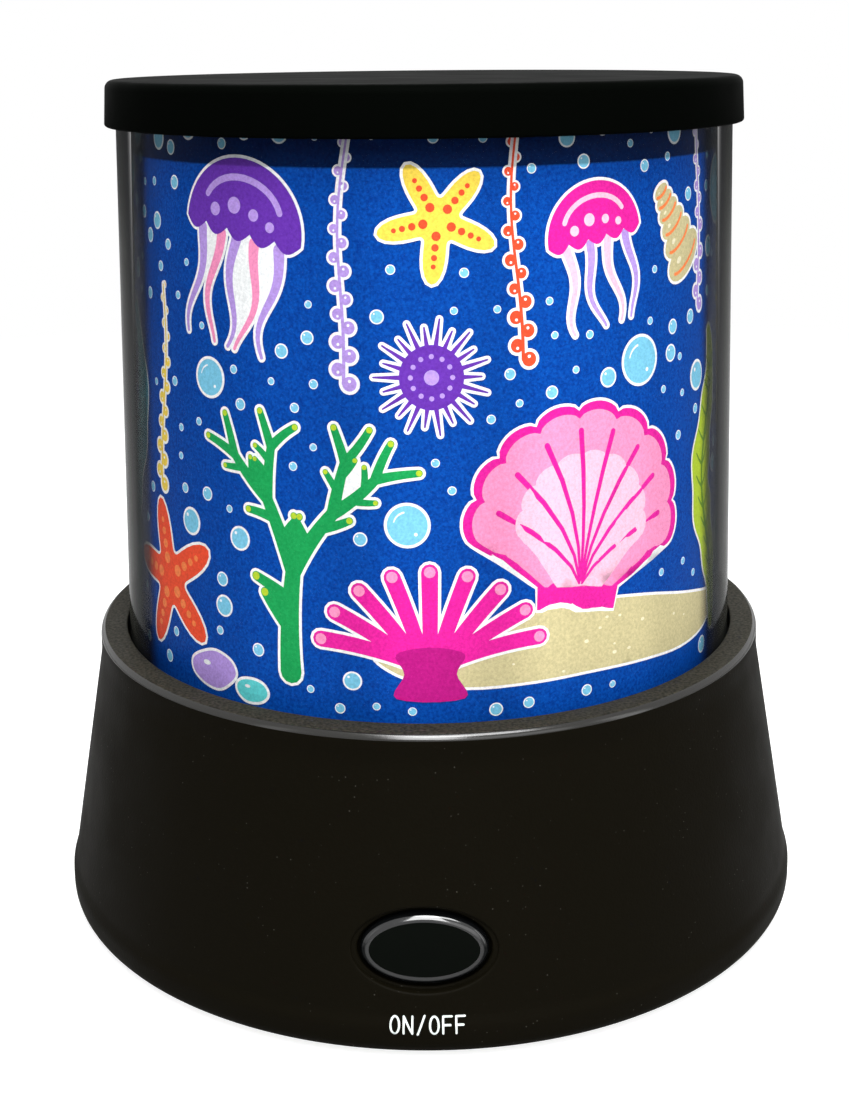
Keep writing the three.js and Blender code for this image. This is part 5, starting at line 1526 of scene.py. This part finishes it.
def onCell(i, x):
    # The cell's own Z lies along +X or -X by turns, and x counts the way that it faces
    facing = 1 if i % 2 == 0 else -1
    return (Matrix.Translation((facing * x, cell["rows"][i], cell["z"]))
            @ Matrix.Rotation(radians(90 * facing), 4, "Y"))


def buildCells(work):
    steel, dark, copper = 0, 1, 2
    stops = [(0, 0.15, steel), (5.9, 0.15, steel), (6.05, 0.05, dark), (6.35, 0, dark), (6.9, 0.2, dark),
             (7.1, 0.6, dark), (7.1, 36.5, dark), (7.1, 36.6, copper), (7.1, 48.9, copper),
             (6.9, 49.35, copper), (6.45, 49.5, copper), (6.1, 49.45, copper), (5.95, 49.2, steel),
             (3.3, 49.2, steel), (2.85, 49.4, steel), (2.7, 49.6, steel), (2.7, 50.3, steel),
             (2.5, 50.5, steel), (0, 50.5, steel)]
    for i in range(len(cell["rows"])):
        before = len(work.verts)
        lathe(work, [(r, z) for r, z, _ in stops], cell["segments"], closed=False,
              inkAt=lambda j: stops[j][2])
        moveFrom(work, before, onCell(i, cell["endX"] - cell["length"]))


newPiece("batteryCells", buildCells, [zincSteel, darkSleeve, copperSleeve], "base",
         numbered("battery_cell", 3))


# Battery springs: cone coils that start wide at the contact

spring = dict(length=3.8, footRadius=4.6, tipRadius=2.9, turns=3.0, wire=0.35, inset=0.3)


def makeCoilTree():
    sizes = dict(Turns=3.0, FootRadius=4.6 * mm, TipRadius=2.9 * mm, Rise=3.1 * mm, Wire=0.35 * mm)
    tree, given, result = startTree("coneCoil", dict(sizes, Finish="NodeSocketMaterial"))
    path = addNode(tree, "GeometryNodeCurveSpiral",
                   {"Resolution": 40, "Rotations": given["Turns"], "Start Radius": given["FootRadius"],
                    "End Radius": given["TipRadius"], "Height": given["Rise"]})
    section = addNode(tree, "GeometryNodeCurvePrimitiveCircle", {"Resolution": 12, "Radius": given["Wire"]})
    wire = addNode(tree, "GeometryNodeCurveToMesh",
                   {"Fill Caps": True, "Curve": path, "Profile Curve": section})
    return endTree(tree, result, wire, given["Finish"])


def makeSprings():
    s = spring
    rise = s["length"] - 2 * s["wire"]
    coil = runTree(bpy.data.meshes.new("empty"), makeCoilTree(), Turns=s["turns"],
                   FootRadius=s["footRadius"] * mm, TipRadius=s["tipRadius"] * mm, Rise=rise * mm,
                   Wire=s["wire"] * mm, Finish=nickel)
    work = bmesh.new()
    for i in range(len(cell["rows"])):
        before = len(work.verts)
        work.from_mesh(coil)
        place = onCell(i, s["inset"] + s["wire"] - cell["contactX"])
        place.translation *= mm
        moveFrom(work, before, place)
    pieceFromMesh("batterySprings", meshFrom("springs", work), [nickel], "base",
                  numbered("battery_spring", 3))


makeSprings()
print("feet, cells and springs made")


# Star dome: smoked shell with a flange, and clear stars let into it

dome = dict(radius=37.5, rise=37.0, wall=1.6, seatZ=43.0, flangeWidth=3.5, flangeThickness=1.5,
            flangeEdge=0.2, steps=40, segments=144, starSpacing=5.6, starLeast=1.0, starMost=2.3,
            starLift=0.03, seed=11)


domeBase = dome["seatZ"] + dome["flangeThickness"]


def domeArc(thinner, angles):
    # Points of the dome's outside, or of its inside where thinner is the wall
    return [((dome["radius"] - thinner) * cos(a), domeBase + (dome["rise"] - thinner) * sin(a))
            for a in angles]


def buildDome(work):
    d = dome
    angles = [pi / 2 * i / d["steps"] for i in range(d["steps"] + 1)]
    inside, outside = domeArc(d["wall"], reversed(angles)), domeArc(0, angles)
    inside[0], outside[-1] = (0, inside[0][1]), (0, outside[-1][1])
    rim, edge = d["radius"] + d["flangeWidth"], d["flangeEdge"]
    lip = [(d["radius"] - d["wall"], d["seatZ"]), (rim - edge, d["seatZ"]), (rim, d["seatZ"] + edge),
           (rim, domeBase - edge), (rim - edge, domeBase)]
    lathe(work, inside + lip + outside, d["segments"], closed=False)


def buildStarBed(work):
    lathe(work, domeArc(0, [radians(a) for a in (8, 24, 40, 56, 72, 84)]), 48, closed=False)
    bmesh.ops.recalc_face_normals(work, faces=work.faces)
    work.normal_update()
    first = work.faces[:][0]
    if first.normal.dot(first.calc_center_median() - Vector((0, 0, domeBase))) < 0:
        bmesh.ops.reverse_faces(work, faces=work.faces)


def makeStarTree():
    # Stars scattered over the dome, each pressed on to its curve
    sizes = dict(Spacing=5.6 * mm, Least=1.0 * mm, Most=2.3 * mm, Radius=37.53 * mm, Rise=37.03 * mm,
                 BaseHeight=44.5 * mm, Seed=11)
    tree, given, result = startTree("starsOnDome", dict(sizes, Finish="NodeSocketMaterial"))
    spots = addNode(tree, "GeometryNodeDistributePointsOnFaces",
                    {"Mesh": given["Geometry"], "Distance Min": given["Spacing"],
                     "Density Max": scatterDensity, "Seed": given["Seed"]}, distribute_method="POISSON")
    outline = addNode(tree, "GeometryNodeCurveStar", {"Points": 5, "Inner Radius": 0.42, "Outer Radius": 1.0})
    filled = addNode(tree, "GeometryNodeFillCurve", {0: outline}, mode="TRIANGLES")
    fine = addNode(tree, "GeometryNodeSubdivideMesh", {"Level": 2, "Mesh": filled})
    size = addNode(tree, "FunctionNodeRandomValue",
                   {2: given["Least"], 3: given["Most"], "Seed": given["Seed"]}, data_type="FLOAT")
    chance = addNode(tree, "FunctionNodeRandomValue", {2: 0.0, 3: tau, "Seed": given["Seed"]},
                     data_type="FLOAT")
    aboutAxis = addNode(tree, "ShaderNodeCombineXYZ", {"Z": chance.outputs[1]})
    spin = addNode(tree, "FunctionNodeEulerToRotation", {0: aboutAxis})
    both = addNode(tree, "FunctionNodeRotateRotation",
                   {"Rotation": spots.outputs["Rotation"], "Rotate By": spin}, rotation_space="LOCAL")
    placed = addNode(tree, "GeometryNodeInstanceOnPoints",
                     {"Points": spots.outputs["Points"], "Instance": fine, "Rotation": both,
                      "Scale": size.outputs[1]})
    real = addNode(tree, "GeometryNodeRealizeInstances", {"Geometry": placed})
    here = addNode(tree, "GeometryNodeInputPosition")
    base = addNode(tree, "ShaderNodeCombineXYZ", {"Z": given["BaseHeight"]})
    axes = addNode(tree, "ShaderNodeCombineXYZ",
                   {"X": given["Radius"], "Y": given["Radius"], "Z": given["Rise"]})
    fromBase = addNode(tree, "ShaderNodeVectorMath", {0: here, 1: base}, operation="SUBTRACT")
    asBall = addNode(tree, "ShaderNodeVectorMath", {0: fromBase, 1: axes}, operation="DIVIDE")
    onBall = addNode(tree, "ShaderNodeVectorMath", {0: asBall}, operation="NORMALIZE")
    onDome = addNode(tree, "ShaderNodeVectorMath", {0: onBall, 1: axes, 2: base}, operation="MULTIPLY_ADD")
    pressed = addNode(tree, "GeometryNodeSetPosition", {"Geometry": real, "Position": onDome})
    return endTree(tree, result, pressed, given["Finish"])


newPiece("starDome", buildDome, [smokedStyrene], "base", ["star_dome"])
stars = runTree(meshOf("starBed", buildStarBed, closed=False), makeStarTree(),
                Spacing=dome["starSpacing"] * mm, Least=dome["starLeast"] * mm, Most=dome["starMost"] * mm,
                Radius=(dome["radius"] + dome["starLift"]) * mm, Rise=(dome["rise"] + dome["starLift"]) * mm,
                BaseHeight=domeBase * mm, Seed=dome["seed"], Finish=clearWindow)
pieceFromMesh("domeStars", stars, [clearWindow], "base", smoothUnder=60)
print("star dome made")


# Lamps on their board: flanged bodies with a domed lens

lamp = dict(radius=2.5, flange=2.9, flangeHeight=1.0, flangeEdge=0.15, bodyHeight=5.6, z=49.6, circle=6.5,
            segments=48)


def lampBuilder(spot):
    def build(work):
        d = lamp
        rim, edge = d["flange"], d["flangeEdge"]
        profile = [(0, 0), (rim - edge, 0), (rim, edge), (rim, d["flangeHeight"] - edge),
                   (rim - edge, d["flangeHeight"]), (d["radius"], d["flangeHeight"])]
        profile += roundFrom(0, d["bodyHeight"], d["radius"], 0, 90, 12)[:-1]
        profile.append((0, d["bodyHeight"] + d["radius"]))
        lathe(work, profile, d["segments"], closed=False)
        bmesh.ops.translate(work, vec=spot, verts=work.verts)
    return build


lampSpots = [(0.0, 0.0, lamp["z"])] + circleAt(lamp["circle"], (90, 210, 330), lamp["z"])
for (name, lens), spot in zip(lampLens.items(), lampSpots):
    newPiece(name + "Lamp", lampBuilder(spot), [lens], "base", ["lamp_" + name])


# Remaining pieces keep the solids' shapes, with their corners joined and their edges eased

easing = dict(mergeWithin=0.002, flatDegrees=0.5, sharpDegrees=50, segments=2, smoothUnder=42)


def eased(name, node, material, body, width):
    work = bmesh.new()
    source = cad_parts[node]
    work.from_mesh(source.data)
    bmesh.ops.transform(work, matrix=source.matrix_world, verts=work.verts)
    bmesh.ops.remove_doubles(work, verts=work.verts, dist=easing["mergeWithin"] * mm)
    bmesh.ops.dissolve_limit(work, angle_limit=radians(easing["flatDegrees"]), verts=work.verts,
                             edges=work.edges)
    if width:
        sharp = [edge for edge in work.edges if len(edge.link_faces) == 2
                 and edge.calc_face_angle() > radians(easing["sharpDegrees"])]
        bmesh.ops.bevel(work, geom=sharp, offset=width * mm, segments=easing["segments"], profile=0.5,
                        affect="EDGES", clamp_overlap=True)
    bmesh.ops.triangulate(work, faces=work.faces)
    bmesh.ops.recalc_face_normals(work, faces=work.faces)
    pieceFromMesh(name, meshFrom(name, work), [material], body, [node], easing["smoothUnder"])


for name, node, material, body, slot, width in (
        ("bottomCover", "bottom_cover", blackAbs, "base", "housing", 0.2),
        ("batteryDoor", "battery_door", blackAbs, "door", "housing", 0.2),
        ("domeRetainer", "dome_retainer", blackAbs, "base", "housing", 0.15),
        ("lampBoard", "lamp_board", solderMask, "base", "lamp_board", 0.08),
        ("controlBoard", "control_board", phenolicPaper, "base", "board", 0.08),
        ("controlChip", "control_chip", mouldedEpoxy, "base", "chip", 0.15),
        ("switchBody", "switch_body", nickel, "base", "contact", 0.12),
        ("switchPlunger", "switch_plunger", mouldedEpoxy, "button", "chip", 0.15),
        ("smoothingCapacitor", "smoothing_capacitor", blueSleeve, "base", "capacitor", 0.25),
        ("powerInlet", "power_inlet", mouldedEpoxy, "base", "chip", 0.2),
        ("contactPositive", "contact_positive", nickel, "base", "contact", 0.06),
        ("contactNegative", "contact_negative", nickel, "base", "contact", 0.06),
        ("contactBridgeRight", "contact_bridge_right", nickel, "base", "contact", 0.06),
        ("contactBridgeLeft", "contact_bridge_left", nickel, "base", "contact", 0.06),
        ("wirePositive", "wire_positive", redPvc, "base", "wire_red", 0.0),
        ("wireNegative", "wire_negative", blackPvc, "base", "wire_black", 0.0),
        ("inletWirePositive", "inlet_wire_positive", redPvc, "base", "wire_red", 0.0),
        ("inletWireNegative", "inlet_wire_negative", blackPvc, "base", "wire_black", 0.0),
        ("lampRibbon", "lamp_ribbon", greyPvc, "base", "wire_grey", 0.0)):
    eased(name, node, material, body, width)
print("inner pieces made")

bpy.context.scene.view_settings.view_transform = "Standard"
print("done")
